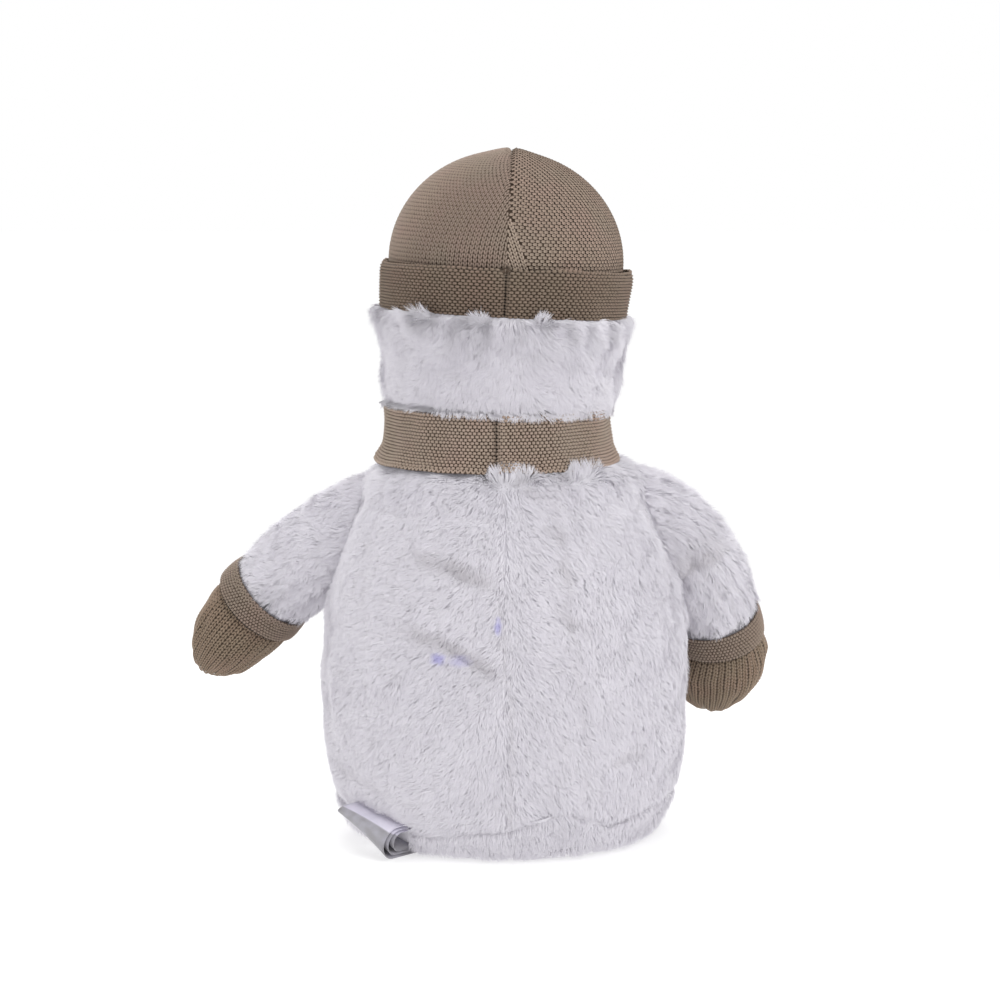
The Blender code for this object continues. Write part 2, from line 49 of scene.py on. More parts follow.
# The toy's own sizes, in metres. A profile is a list of (half-width, height) points on the outside of the
# pile or the knit.
BELLY_DEPTH = 0.88
SHOULDER_DEPTH = 0.95
BELLY_HEIGHT = 0.110
SHOULDER_HEIGHT = 0.158
BODY_PROFILE = [
    (0.0722, 0.0115),
    (0.0770, 0.0250),
    (0.0801, 0.0500),
    (0.0809, 0.0740),
    (0.0786, 0.1000),
    (0.0725, 0.1250),
    (0.0650, 0.1450),
    (0.0565, 0.1575),
    (0.0480, 0.1632),
    (0.0400, 0.1650),
]
BASE_RIM = [
    (0.0520, 0.0006),
    (0.0600, 0.0008),
    (0.0660, 0.0032),
    (0.0702, 0.0090),
    (0.0742, 0.0170),
    (0.0766, 0.0250),
    (0.0772, 0.0290),
]
SOLE = [(0.0005, 0.0004), (0.0200, 0.0004), (0.0400, 0.0004), (0.0560, 0.0006)]
# The seam between the back and the base wanders, as (x, height) from the toy's right to its left.
HEM_LINE = [
    (-0.0730, 0.0215),
    (-0.0444, 0.0135),
    (-0.0238, 0.0225),
    (-0.0020, 0.0148),
    (0.0316, 0.0105),
    (0.0500, 0.0110),
    (0.0730, 0.0190),
]
HEM_IN_FRONT = 0.0150
# Where the back's middle seam runs, as (x, height) from the foot up.
MIDDLE_SEAM = [(-0.0016, 0.0163), (-0.0020, 0.0687), (0.0005, 0.0991), (0.0034, 0.1223)]

NECK_PIVOT = np.array((0.0034, 0.0, 0.1660))
HEAD_LEAN = math.radians(2.7)
HEAD_DEPTH = 0.96
HEAD_PROFILE = [
    (0.0465, 0.0208),
    (0.0502, 0.0236),
    (0.0518, 0.0280),
    (0.0524, 0.0350),
    (0.0534, 0.0450),
    (0.0556, 0.0545),
    (0.0566, 0.0605),
    (0.0563, 0.0642),
]

CROWN_SPRING = 0.0845
CROWN_RADIUS = 0.0508
CROWN_RISE = 0.0478
CROWN_RIDGE = 0.0014
CROWN_RIDGE_WIDTH = 0.0080
CROWN_GROOVE = 0.0011
CROWN_STITCH = 0.00232
CROWN_FAN_COURSE = 0.00165
BRIM_FOLDED = [
    (0.0503, 0.0625),
    (0.0510, 0.0705),
    (0.0514, 0.0780),
    (0.0518, 0.0812),
    (0.0527, 0.0821),
    (0.0536, 0.0812),
    (0.0540, 0.0780),
    (0.0535, 0.0705),
    (0.0526, 0.0622),
]
BRIM_OUTSIDE = ([0.0622, 0.0705, 0.0780, 0.0812], [0.0526, 0.0535, 0.0540, 0.0536])
BRIM_TILT = 0.030

SCARF_OUTER = [(0.0528, 0.1645), (0.0508, 0.1680), (0.0490, 0.1725), (0.0483, 0.1800), (0.0487, 0.1888)]
SCARF_INNER = [(0.0477, 0.1884), (0.0468, 0.1800), (0.0472, 0.1730), (0.0486, 0.1692), (0.0508, 0.1656)]
KNOT_SIZE = (0.0270, 0.0110, 0.0230)
KNOT_CENTRE = Vector((0.0, -0.0508, 0.1730))
TAIL_WIDTH = 0.0220
TAIL_TOP = 0.1640
TAIL_ENDS = {"left": 0.1010, "right": 0.1090}
TAIL_SPREAD = (0.0090, 0.0290)
TAIL_THICKNESS = 0.0012
FRINGE_LENGTH = 0.0075

ARM_LENGTH = 0.105
# The points that draw each arm's middle line into a curve, from the shoulder to the hand.
ARM_CONTROLS = {
    "left": [
        (0.040, -0.010, 0.139),
        (0.0905, -0.014, 0.132),
        (0.126, -0.0315, 0.076),
        (0.133, -0.050, 0.0665),
    ],
    "right": [
        (-0.042, -0.010, 0.139),
        (-0.0855, -0.010, 0.141),
        (-0.1015, -0.020, 0.088),
        (-0.0945, -0.058, 0.0455),
    ],
}
# How much wider the hand is than the sleeve's line, sideways and from front to back.
HAND_SPREAD = {"left": (1.15, 1.0), "right": (0.95, 1.27)}
HAND_STARTS = 0.069
HAND_FULL = 0.080
SLEEVE_PROFILE = [
    (0.0245, 0.0),
    (0.0240, 0.0200),
    (0.0228, 0.0380),
    (0.0219, 0.0520),
    (0.0212, 0.0580),
    (0.0196, 0.0614),
]
MITTEN_PROFILE = [
    (0.0166, 0.0645),
    (0.0184, 0.0700),
    (0.0187, 0.0785),
    (0.0168, 0.0885),
    (0.0128, 0.0967),
    (0.0066, 0.1027),
    (0.0016, 0.1048),
    (0.0002, 0.1051),
]
CUFF_FOLDED = [
    (0.0188, 0.0612),
    (0.0196, 0.0609),
    (0.0201, 0.0632),
    (0.0205, 0.0670),
    (0.0202, 0.0694),
    (0.0193, 0.0694),
    (0.0189, 0.0670),
    (0.0184, 0.0640),
]

EYE_RADIUS = 0.0056
EYE_DEPTH = 0.0042
EYE_SPACING = 0.0180
EYE_HEIGHT = 0.0500
NOSE_HEIGHT = 0.0400
NOSE_DROOP = math.radians(8)
NOSE_PROFILE = [
    (0.0074, -0.0040),
    (0.0076, 0.0020),
    (0.0068, 0.0080),
    (0.0052, 0.0160),
    (0.0034, 0.0240),
    (0.0014, 0.0280),
    (0.0001, 0.0290),
]
BUTTON_RADIUS = 0.0068
BUTTON_THICKNESS = 0.0034
BUTTON_EMBEDDED = 0.0012
BUTTON_DISH = 0.0012
BUTTON_THREAD_RADIUS = 0.0005
BUTTON_THREAD_LENGTH = 0.0042
BUTTON_HEIGHTS = {"button_upper": 0.1180, "button_lower": 0.0830}

LABEL_ROOT = Vector((0.0375, 0.0400, 0.0006))
LABEL_WIDTH_WAY = Vector((0.75, -0.63, 0.22)).normalized()
LABEL_NOSE_WAY = Vector((0.67, 0.74, 0.0)).normalized()
LABEL_UP_WAY = Vector((-0.16, 0.15, 0.97)).normalized()
LABEL_WIDTH = 0.028
LABEL_THICKNESS = 0.0003
# Each loop's reach from the seam, and the radius of its rounded end.
LABEL_LOOPS = {
    "label_outer": (0.0220, 0.0072),
    "label_middle": (0.0192, 0.0057),
    "label_inner": (0.0160, 0.0043),
}
LABEL_TOP = 2 * LABEL_LOOPS["label_outer"][1]
# The loops lie flatter towards their far end: by this share of their height, and curled up by this much.
LABEL_FLATTENED = 0.74
LABEL_CURL = 0.0006
# The turn of a loop's rounded end from which it is painted in shadow, in radians up from its nose.
LABEL_PAINTED_SHADOW_FROM = 0.80

# The pile's roots lie this far under the outside of the pile.
PILE_DEPTH = 0.0036
HEAD_PILE_DEPTH = 0.0046
SLEEVE_PILE_DEPTH = 0.0042
BASE_PILE_DEPTH = 0.0030
STRAND_LENGTH = 0.0060
HEAD_STRAND_LENGTH = 0.0070
SLEEVE_STRAND_LENGTH = 0.0062
BASE_STRAND_LENGTH = 0.0056
STRAND_WIDTH = 0.00029
LOCK_SIZE = 0.0015
TUFT_SIZE = 0.0080
# How far strands stray in their swing and lean, in radians: with their tuft, with their lock, and alone.
SWING_STRAY = (0.14, 0.14, 0.34)
LEAN_STRAY = (0.04, 0.03, 0.09)
# How far their lengths stray with their tuft and their lock, and the range in which each strays alone.
LENGTH_STRAY = (0.04, 0.03)
LENGTH_RANGE = (0.82, 1.05)
# The least and the most that a strand leans, and how much less and more it leans below and above its bend.
LEAN_RANGE = (0.12, 1.35)
LEAN_BELOW_BEND = 0.62
LEAN_ABOVE_BEND = 1.35
LEAN_LIMIT = 1.52
# How far the tips of a tuft and of a lock are drawn together.
TUFT_PULL = 0.05
LOCK_PULL = 0.16
# How much of a strand's normal comes from its place in its tuft, and from its own blade.
TUFT_ROUNDNESS = 0.14
OWN_ROUNDNESS = 0.12
# How high the four corners of a strand are, for its length.
STRAND_HEIGHTS = (0.0, 0.6, 0.6, 1.0)
FLOOR_GAP = 0.0002

# Two folds cross the back's left half, from the middle to the side, as (x, height).
BACK_FOLDS = [
    [(0.0042, 0.1194), (0.0229, 0.1251), (0.0431, 0.1285)],
    [(0.0022, 0.0813), (0.0229, 0.0932), (0.0473, 0.0995)],
]
FOLD_WIDTH = 0.0042
FOLD_DEPTH = 0.0015
# Short creases in the back's pile, each from one (x, height) to another, with its depth.
BACK_CREASES = [
    ((-0.0060, 0.1570), (-0.0120, 0.1540), 0.0026),
    ((-0.0225, 0.1577), (-0.0293, 0.1591), 0.0024),
    ((-0.0166, 0.1553), (-0.0228, 0.1381), 0.0015),
    ((-0.0165, 0.1405), (-0.0215, 0.1360), 0.0022),
    ((-0.0225, 0.1265), (-0.0270, 0.1212), 0.0022),
    ((-0.0228, 0.1381), (-0.0269, 0.1012), 0.0012),
    ((-0.0235, 0.1060), (-0.0284, 0.1008), 0.0022),
    ((-0.0295, 0.1032), (-0.0348, 0.0987), 0.0018),
    ((-0.0269, 0.1012), (-0.0333, 0.0610), 0.0011),
    ((-0.0333, 0.0610), (-0.0322, 0.0329), 0.0008),
    ((-0.0470, 0.0421), (-0.0579, 0.0437), 0.0020),
    ((0.0700, 0.0330), (0.0500, 0.0270), 0.0014),
]
CREASE_WIDTH = 0.0021
# The crease inside the right elbow: how far along the arm, at which turn, and how deep. Seen from behind,
# the painted shade in the hollow above it ends on a line between two points, given as (x, height).
ELBOW_HEIGHT = 0.0385
ELBOW_TURN = 0.10
ELBOW_DEPTH = 0.0034
ELBOW_SLANT = 0.050
ELBOW_SPREAD = 0.13
ELBOW_LINE = [(-0.0775, 0.1165), (-0.0937, 0.1250)]
# How far above that line the painted shade fades, and how strongly it is painted.
ELBOW_SHADE_FADE = 0.009
ELBOW_DARKNESS = 1.15
# Where the back's pile stands up over the scarf's lower edge: each tuft's x and half-width.
CREST_TUFTS = [(-0.0025, 0.0080), (-0.0312, 0.0060)]
# Where the head's pile stands up over the brim's lower edge.
EDGE_TUFTS = [(0.0103, 0.0046), (-0.0146, 0.0060), (0.0330, 0.0050)]


# Shapes

def ramp(value, low, high):
    """0 below low, 1 above high, and smooth between them."""
    share = np.clip((value - low) / (high - low), 0.0, 1.0)
    return share * share * (3.0 - 2.0 * share)


def drift(points, size, seed, waves=6):
    """Smooth noise over points, mostly between -1 and 1, with features of about that size."""
    rng = np.random.default_rng(seed)
    total = np.zeros(len(points))
    for _ in range(waves):
        way = rng.normal(size=3)
        way *= rng.uniform(0.6, 1.4) * FULL_TURN / (size * np.linalg.norm(way))
        total += np.sin(points @ way + rng.uniform(0, FULL_TURN))
    return total / math.sqrt(waves)


def bell(away, width):
    """1 where away is 0, falling to nothing within about two widths."""
    return np.exp(-((away / width) ** 2))


def unit(vectors):
    """The same directions, one long."""
    return vectors / np.maximum(np.linalg.norm(vectors, axis=-1, keepdims=True), 1e-12)


def half_width(profile, height, beyond=None):
    """A profile's half-width at a height, and the given one above its top."""
    return np.interp(height, [p[1] for p in profile], [p[0] for p in profile], right=beyond)


def smooth_profile(points, count=80):
    """Evenly spaced points on a smooth curve through the given ones."""
    points = np.array(points, float)
    ends = np.vstack([2 * points[0] - points[1], points, 2 * points[-1] - points[-2]])
    t = np.linspace(0, 1, 12, endpoint=False)[:, None]
    fine = [
        0.5 * (2 * b + (c - a) * t + (2 * a - 5 * b + 4 * c - d) * t**2 + (3 * b - a - 3 * c + d) * t**3)
        for a, b, c, d in zip(ends, ends[1:], ends[2:], ends[3:])
    ]
    fine = np.vstack([*fine, points[-1:]])
    length = np.concatenate([[0.0], np.cumsum(np.linalg.norm(np.diff(fine, axis=0), axis=1))])
    even = np.linspace(0, length[-1], count)
    return np.stack([np.interp(even, length, fine[:, axis]) for axis in range(points.shape[1])], axis=1)


def ripple(size, seed, amount):
    """A relief for turned surfaces: soft dents and swellings of about that size and height."""
    girth = 0.06

    def lift(turn, height):
        angle = turn * FULL_TURN
        places = np.stack([girth * np.sin(angle), girth * np.cos(angle), height], axis=-1)
        return amount * drift(places, size, seed)

    return lift


def body_depth(height):
    """How deep the body is for its width, at that height."""
    return BELLY_DEPTH + (SHOULDER_DEPTH - BELLY_DEPTH) * ramp(height, BELLY_HEIGHT, SHOULDER_HEIGHT)


def head_depth(height):
    """How deep the head is for its width, the same at every height."""
    return np.full_like(height, HEAD_DEPTH)


def round_depth(height):
    """As deep as it is wide, at every height."""
    return np.ones_like(height)


def upright(points):
    """Points drawn about the toy's own upright axis, left as they are."""
    return points


def leaning(points):
    """Moves points drawn about the head's own upright axis onto the neck, with the head's lean."""
    points = np.asarray(points, float)
    x, y, z = points[..., 0], points[..., 1], points[..., 2]
    cos, sin = math.cos(HEAD_LEAN), math.sin(HEAD_LEAN)
    return np.stack([x * cos - z * sin, y, x * sin + z * cos], axis=-1) + NECK_PIVOT


def round_neck(points):
    """Moves points drawn about the toy's own upright axis beside it, to the neck."""
    return points + np.array((NECK_PIVOT[0], 0.0, 0.0))


def arm_bend(which):
    """A function that bends points drawn about an upright axis so that the axis follows the arm."""
    controls = np.array(ARM_CONTROLS[which])
    share = np.linspace(0, 1, 65)[:, None]
    rest = 1 - share
    a, b, c, d = controls
    line = rest**3 * a + 3 * rest**2 * share * b + 3 * rest * share**2 * c + share**3 * d
    distance = np.concatenate([[0.0], np.cumsum(np.linalg.norm(np.diff(line, axis=0), axis=1))])
    distance *= ARM_LENGTH / distance[-1]
    along = unit(np.gradient(line, axis=0))
    side = np.zeros_like(line)
    carried = np.array((0.0, 1.0, 0.0))
    for i, way in enumerate(along):
        carried = unit(carried - way * carried.dot(way))
        side[i] = carried
    up = np.cross(along, side)

    def bend(points):
        x, y, z = points[..., 0], points[..., 1], points[..., 2]
        widened = np.clip((z - HAND_STARTS) / (HAND_FULL - HAND_STARTS), 0.0, 1.0)
        x = x * (1 + (HAND_SPREAD[which][0] - 1) * widened)
        y = y * (1 + (HAND_SPREAD[which][1] - 1) * widened)
        at = [np.stack([np.interp(z, distance, track[:, axis]) for axis in range(3)], axis=-1)
              for track in (line, side, up)]
        return at[0] + at[1] * x[..., None] + at[2] * y[..., None]

    return bend


def turned(profile, depth=round_depth, move=upright, relief=None, inset=0.0, whole=False):
    """A surface turned from a profile, as a function of a turn and a share of the profile.

    A turn is counted in whole turns from +Y towards +X. The surface lies inset under the profile, and
    relief(turn, height) raises it from there. With whole, the relief moves both walls of a folded band the
    same way.
    """
    curve = smooth_profile(profile)
    steps = np.linspace(0, 1, len(curve))
    slope = unit(np.gradient(curve, axis=0))
    outward = np.stack([slope[:, 1], -slope[:, 0]], axis=1)

    def place(turn, share):
        width, height = (np.interp(share, steps, curve[:, axis]) for axis in (0, 1))
        out, rise = (np.interp(share, steps, outward[:, axis]) for axis in (0, 1))
        lift = 0.0 if relief is None else relief(turn, height)
        lift = (np.clip(3 * out, -1.0, 1.0) * lift if whole else lift) - inset
        width = width + out * lift
        height = height + rise * lift
        angle = turn * FULL_TURN
        flat = np.stack([width * np.sin(angle), depth(height) * width * np.cos(angle), height], axis=-1)
        return move(flat)

    return place


def surface_at(place, a, b, step=0.0008):
    """The point, the two unit directions along a surface, and its outward normal, at (a, b)."""
    across = place(a + step, b) - place(a - step, b)
    up = place(a, b + step) - place(a, b - step)
    normal = unit(np.cross(up, across))
    return place(a, b), unit(across), unit(up), normal


# Meshes

NO_QUADS = np.zeros((0, 4), int)
NO_TRIANGLES = np.zeros((0, 3), int)


def mesh_piece(name, points, quads, triangles=NO_TRIANGLES, materials=(), slots=None):
    """An object from arrays of points and faces."""
    mesh = bpy.data.meshes.new(name)
    mesh.vertices.add(len(points))
    mesh.vertices.foreach_set("co", np.ascontiguousarray(points, np.float32).ravel())
    corners = np.concatenate([quads.ravel(), triangles.ravel()]).astype(np.int32)
    starts = np.concatenate([np.arange(len(quads)) * 4, len(quads) * 4 + np.arange(len(triangles)) * 3])
    mesh.loops.add(len(corners))
    mesh.loops.foreach_set("vertex_index", corners)
    mesh.polygons.add(len(starts))
    mesh.polygons.foreach_set("loop_start", starts.astype(np.int32))
    for material in materials:
        mesh.materials.append(material)
    if slots is not None:
        mesh.polygons.foreach_set("material_index", slots.astype(np.int32))
    mesh.update(calc_edges=True)
    mesh.shade_smooth()
    return put_in_scene(name, mesh)


def put_in_scene(name, data):
    """A new object with that data: a mesh, a camera or a light."""
    made = bpy.data.objects.new(name, data)
    bpy.context.scene.collection.objects.link(made)
    return made


def grid_faces(columns, rows, closed=False):
    """The quads of a grid of points that is columns wide and rows high, closed round into a ring or not."""
    column = np.arange(columns if closed else columns - 1)
    row = np.arange(rows - 1)[:, None]
    here = row * columns + column
    beside = row * columns + (column + 1) % columns
    return np.stack([here, here + columns, beside + columns, beside], axis=-1).reshape(-1, 4)


def even_places(turns, shares, columns, rows):
    """The turns and shares of an even grid between two of each."""
    turn, share = np.meshgrid(np.linspace(*turns, columns), np.linspace(*shares, rows))
    return turn.ravel(), share.ravel()


def sheet_of(place, turns, shares, columns, rows):
    """The points and quads of a surface between two turns and two shares of its profile."""
    return place(*even_places(turns, shares, columns, rows)), grid_faces(columns, rows)


def joined(*parts):
    """One set of points, quads and triangles from several, with the part that each face came from."""
    points, quads, triangles, quad_part, triangle_part, base = [], [], [], [], [], 0
    for i, (part_points, part_quads, part_triangles) in enumerate(parts):
        points.append(part_points)
        quads.append(part_quads + base)
        triangles.append(part_triangles + base)
        quad_part.append(np.full(len(part_quads), i))
        triangle_part.append(np.full(len(part_triangles), i))
        base += len(part_points)
    part = np.concatenate(quad_part + triangle_part)
    return np.concatenate(points), np.concatenate(quads), np.concatenate(triangles), part


# Pile

def scatter(place, turns, shares, count, rng):
    """Places spread evenly over a surface, as turns and shares."""
    columns, rows = 160, 60
    points, faces = sheet_of(place, turns, shares, columns + 1, rows + 1)
    a, b, c, d = (points[faces[:, i]] for i in range(4))
    area = np.linalg.norm(np.cross(c - a, d - b), axis=1)
    cell = rng.choice(len(faces), count, p=area / area.sum())
    turn = turns[0] + (cell % columns + rng.random(count)) * (turns[1] - turns[0]) / columns
    share = shares[0] + (cell // columns + rng.random(count)) * (shares[1] - shares[0]) / rows
    return turn, share


def tufts_of(roots, size, rng):
    """The tuft that each strand belongs to: the nearest of some strands picked about that far apart."""
    spread = np.ptp(roots, axis=0)
    area = spread[0] * spread[2] + spread[1] * spread[2] + spread[0] * spread[1]
    number = min(max(int(area / size**2), 8), len(roots))
    centres = roots[rng.choice(len(roots), number, replace=False)]
    tree = kdtree.KDTree(number)
    for i, centre in enumerate(centres):
        tree.insert(centre, i)
    tree.balance()
    return np.array([tree.find(root)[1] for root in roots]), number


def grow_pile(name, place, turns, shares, count, lay, seed, keep=None, clear=None, push=None,
              length=STRAND_LENGTH, cloth=(70, 44), shade=None, outward=0.8):
    """A fur panel: its backing, and strands that lie in tufts along the way that lay gives.

    lay(turn, share, root) gives the angle from straight down towards the next turn, the lean that way from
    upright on the backing, both in radians, and how long a strand is for its usual length. shade(turn, root)
    says how much painted shade each strand takes. keep and clear say where roots and whole strands may be,
    and push moves a strand's points off its neighbours. outward is how much a strand faces away from the
    toy's upright axis rather than off its own backing.
    """
    rng = np.random.default_rng(seed)
    turn, share = scatter(place, turns, shares, count, rng)
    root, across, up, normal = surface_at(place, turn, share)
    if keep is not None:
        kept = keep(root)
        turn, share, root, across, up, normal = (x[kept] for x in (turn, share, root, across, up, normal))
    swing, lean, reach = lay(turn, share, root)

    tuft, tufts = tufts_of(root, TUFT_SIZE, rng)
    lock, locks = tufts_of(root, LOCK_SIZE, rng)
    swing = stray(swing, SWING_STRAY, tuft, tufts, lock, locks, rng)
    lean = stray(lean, LEAN_STRAY, tuft, tufts, lock, locks, rng)
    lean = np.where(lean > 0, 1.0, -1.0) * np.clip(np.abs(lean), *LEAN_RANGE)
    size = length * reach * rng.normal(1, LENGTH_STRAY[0], tufts)[tuft]
    size = size * rng.normal(1, LENGTH_STRAY[1], locks)[lock]
    size = (size * rng.uniform(*LENGTH_RANGE, len(root)))[:, None]
    bend, tip = bent_strands(root, across, up, normal, swing, lean, size)
    bend, tip = gather(root, bend, tip, tuft, tufts, TUFT_PULL)
    bend, tip = gather(root, bend, tip, lock, locks, LOCK_PULL)

    if push is not None:
        bend, tip = push(bend), push(tip)
    if clear is not None:
        free = clear(root) & clear(bend) & clear(tip)
        turn, root, bend, tip, normal, tuft = (x[free] for x in (turn, root, bend, tip, normal, tuft))
    facing = unit(normal + outward * unit(root * (1.0, 1.0, 0.0)))
    strands = strand_mesh(root, bend, tip, facing, rng)
    cloth_points, cloth_quads = sheet_of(place, turns, shares, *cloth)
    points, quads, triangles, _ = joined((cloth_points, cloth_quads, NO_TRIANGLES), strands)
    points[:, 2] = np.maximum(points[:, 2], FLOOR_GAP)
    piece = mesh_piece(name, points, quads, triangles, [FINISH["pile"]])

    cloth_normals = surface_at(place, *even_places(turns, shares, *cloth))[3]
    strand_normals = pile_normals(root, tip, tuft, tufts, facing, strands[0])
    piece.data.normals_split_custom_set_from_vertices(np.vstack([cloth_normals, strand_normals]))
    tone = np.repeat(rng.random(len(root)), 4)
    # How much painted shade each strand takes, which the finish mixes in as a shadow grey.
    depth = np.zeros(len(root)) if shade is None else shade(turn, root)
    on_cloth = np.zeros(len(cloth_points))
    write_values(piece, "pile_painted_shade", np.concatenate([on_cloth, np.repeat(depth, 4)]))
    write_values(piece, "pile_height", np.concatenate([on_cloth, np.tile(STRAND_HEIGHTS, len(root))]))
    write_values(piece, "strand_tone", np.concatenate([on_cloth + 0.5, tone]))
    return piece


def stray(values, amounts, tuft, tufts, lock, locks, rng):
    """The same values, each moved at random with its tuft, with its lock, and alone."""
    with_tuft, with_lock, alone = amounts
    values = values + rng.normal(0, with_tuft, tufts)[tuft] + rng.normal(0, with_lock, locks)[lock]
    return values + rng.normal(0, alone, len(values))


def bent_strands(root, across, up, normal, swing, lean, size):
    """The middle and the tip of each strand, which leans over more above its middle."""
    heading = unit(-up * np.cos(swing)[:, None] + across * np.sin(swing)[:, None])
    low = (lean * LEAN_BELOW_BEND)[:, None]
    high = np.clip(lean * LEAN_ABOVE_BEND, -LEAN_LIMIT, LEAN_LIMIT)[:, None]
    bend = root + 0.5 * size * (normal * np.cos(low) + heading * np.sin(low))
    tip = bend + 0.5 * size * (normal * np.cos(high) + heading * np.sin(high))
    return bend, tip


def pile_normals(root, tip, tuft, tufts, facing, corners):
    """A normal for each corner of the strands.

    Light falls on a tuft of fur as on a rounded whole, so a strand takes most of its normal from its tuft.
    """
    off_middle = (root - tuft_means(root, tuft, tufts)[tuft]) / (TUFT_SIZE * 0.5)
    soft = unit(facing + TUFT_ROUNDNESS * off_middle)
    blade = corners.reshape(-1, 4, 3)
    own = unit(np.cross(blade[:, 2] - blade[:, 1], tip - root))
    return np.repeat(unit(soft + OWN_ROUNDNESS * own), 4, axis=0)


def tuft_means(values, tuft, tufts):
    """The mean of some vectors over each tuft."""
    number = np.maximum(np.bincount(tuft, minlength=tufts), 1)
    return np.stack([np.bincount(tuft, values[:, axis], tufts) / number for axis in range(3)], axis=1)


def gather(root, bend, tip, tuft, tufts, pull):
    """Draws the strands of each tuft together towards their tips."""
    target = tuft_means(root, tuft, tufts)[tuft] + tuft_means(tip - root, tuft, tufts)[tuft]
    return bend + (target - tip) * pull * 0.4, tip + (target - tip) * pull


def strand_mesh(root, bend, tip, facing, rng):
    """Each strand as a thin blade that is bent once, widest at the bend and pointed at both ends."""
    axis = unit(tip - root)
    side = unit(np.cross(axis, facing))
    roll = rng.uniform(-0.25, 0.25, len(root))[:, None]
    side = side * np.cos(roll) + np.cross(axis, side) * np.sin(roll)
    half = side * STRAND_WIDTH * 0.5 * rng.uniform(0.8, 1.25, len(root))[:, None]
    points = np.stack([root, bend - half, bend + half, tip], axis=1).reshape(-1, 3)
    first = np.arange(len(root))[:, None] * 4
    triangles = np.concatenate([first + np.array([0, 2, 1]), first + np.array([1, 2, 3])])
    return points, NO_QUADS, triangles


def write_values(piece, name, values):
    """Gives each of a piece's points a number that its finish reads."""
    made = piece.data.attributes.new(name, "FLOAT", "POINT")
    made.data.foreach_set("value", values.astype(np.float32))


# Knit

# How lit each point of a grain is painted, from its ends and sides in painted shade to its ridge.
GRAIN_PAINTED_LIGHT = (0.1, 0.2, 0.2, 1.0, 0.2, 0.2, 1.0, 0.1)
GRAIN_POINTS = len(GRAIN_PAINTED_LIGHT)
# A grain's height as a share of half its width, and how high its ridge stands and how deep its ends lie as
# shares of that.
GRAIN_HEIGHT = 0.75
GRAIN_RIDGE = 1.4
GRAIN_SUNK = 0.3
# Half the length of a purl bump and its width, and the same of one beside a seam, in stitches.
BUMP = ((0.47, 0.0), 0.96)
END_BUMP = ((0.24, 0.0), 1.05)
END_BUMP_PLACE = 0.28
# The legs of a plain stitch: how far from its middle, half their height, and their width, in stitches.
LEG_PLACE = 0.215
LEG_REACH = 0.62
LEG_WIDTH = 0.33
LEG_BLUNT = 0.58
# How far the legs of a plain stitch lean, in stitches, where the knit is tight and where it is loose.
TIGHT_LEAN = 0.16
LOOSE_LEAN = 0.26
# How lit a fringe's yarn ends are painted.
FRINGE_PAINTED_LIGHT = 0.7


def grain_mesh(place, s, t, ends, width, blunt=0.55):
    """Short lengths of yarn on a surface that is mapped in stitches, one at each (s, t).

    ends is half of each grain's length as (stitches across, stitches up). The width is a share of the
    distance between wales or courses, whichever the grain lies across, and blunt is the share of its length
    that keeps its full width. The side that rests on the ground stays open.
    """
    step = 0.05
    across = (place(s + step, t) - place(s - step, t)) / (2 * step)
    up = (place(s, t + step) - place(s, t - step)) / (2 * step)
    normal = unit(np.cross(up, across))
    half = across * ends[0] + up * ends[1]
    beside = unit(np.cross(normal, half))
    apart = np.abs((beside * across).sum(1, keepdims=True)) + np.abs((beside * up).sum(1, keepdims=True))
    wide = beside * apart * width * 0.5
    tall = normal * np.linalg.norm(wide, axis=1, keepdims=True) * GRAIN_HEIGHT
    ridge, sunk = tall * GRAIN_RIDGE, tall * GRAIN_SUNK
    middle = place(s, t)
    near, far = middle - half * blunt, middle + half * blunt
    points = np.stack([
        middle - half - sunk, near - wide, near + wide, near + ridge,
        far - wide, far + wide, far + ridge, middle + half - sunk,
    ], axis=1).reshape(-1, 3)
    first = np.arange(len(middle))[:, None] * GRAIN_POINTS
    quads = np.concatenate([first + np.array(q) for q in ([1, 4, 6, 3], [3, 6, 5, 2])])
    triangles = np.concatenate([first + np.array(q) for q in ([0, 1, 3], [0, 3, 2], [7, 6, 4], [7, 5, 6])])
    return points, quads, triangles


def brick_grid(columns, rows, first=0.0):
    """Places of purl bumps, each row half a stitch along from the last."""
    s, t = np.meshgrid(np.arange(columns, dtype=float), np.arange(rows, dtype=float))
    s = s + 0.5 * (t % 2)
    return s.ravel() + first, t.ravel() + 0.5


def purl(place, columns, rows, keep=None, jitter=0.03, seed=1, first=0.0):
    """The wrong side of plain knitting: rows of short bumps that lie across."""
    s, t = brick_grid(columns, rows, first)
    return grains_kept(place, s, t, *BUMP, keep, jitter, seed)


def purl_ends(place, columns, rows, first_row=0):
    """The short stitches beside a band's seam, in every other row."""
    t = np.arange(first_row, rows, 2) + 0.5
    s = np.concatenate([np.full(len(t), END_BUMP_PLACE), np.full(len(t), columns - END_BUMP_PLACE)])
    return grain_mesh(place, s, np.tile(t, 2), *END_BUMP)


def plain(place, columns, rows, keep=None, jitter=0.025, seed=1, lean=TIGHT_LEAN):
    """The right side of plain knitting: each stitch is a V of two leaning legs, stacked in wales."""
    s, t = np.meshgrid(np.arange(columns, dtype=float), np.arange(rows, dtype=float))
    s, t = s.ravel() + 0.5, t.ravel() + 0.5
    legs = []
    for way in (-1, 1):
        ends = (way * lean, LEG_REACH)
        beside = s + way * LEG_PLACE
        legs.append(grains_kept(place, beside, t, ends, LEG_WIDTH, keep, jitter, seed, LEG_BLUNT))
    return joined(*legs)[:3]


def grains_kept(place, s, t, ends, width, keep, jitter, seed, blunt=0.55):
    """Grains that are a little out of line, where keep(s, t) allows them."""
    rng = np.random.default_rng(seed)
    s = s + rng.normal(0, jitter, len(s))
    t = t + rng.normal(0, jitter, len(t))
    if keep is not None:
        kept = keep(s, t)
        s, t = s[kept], t[kept]
    return grain_mesh(place, s, t, ends, width, blunt=blunt)


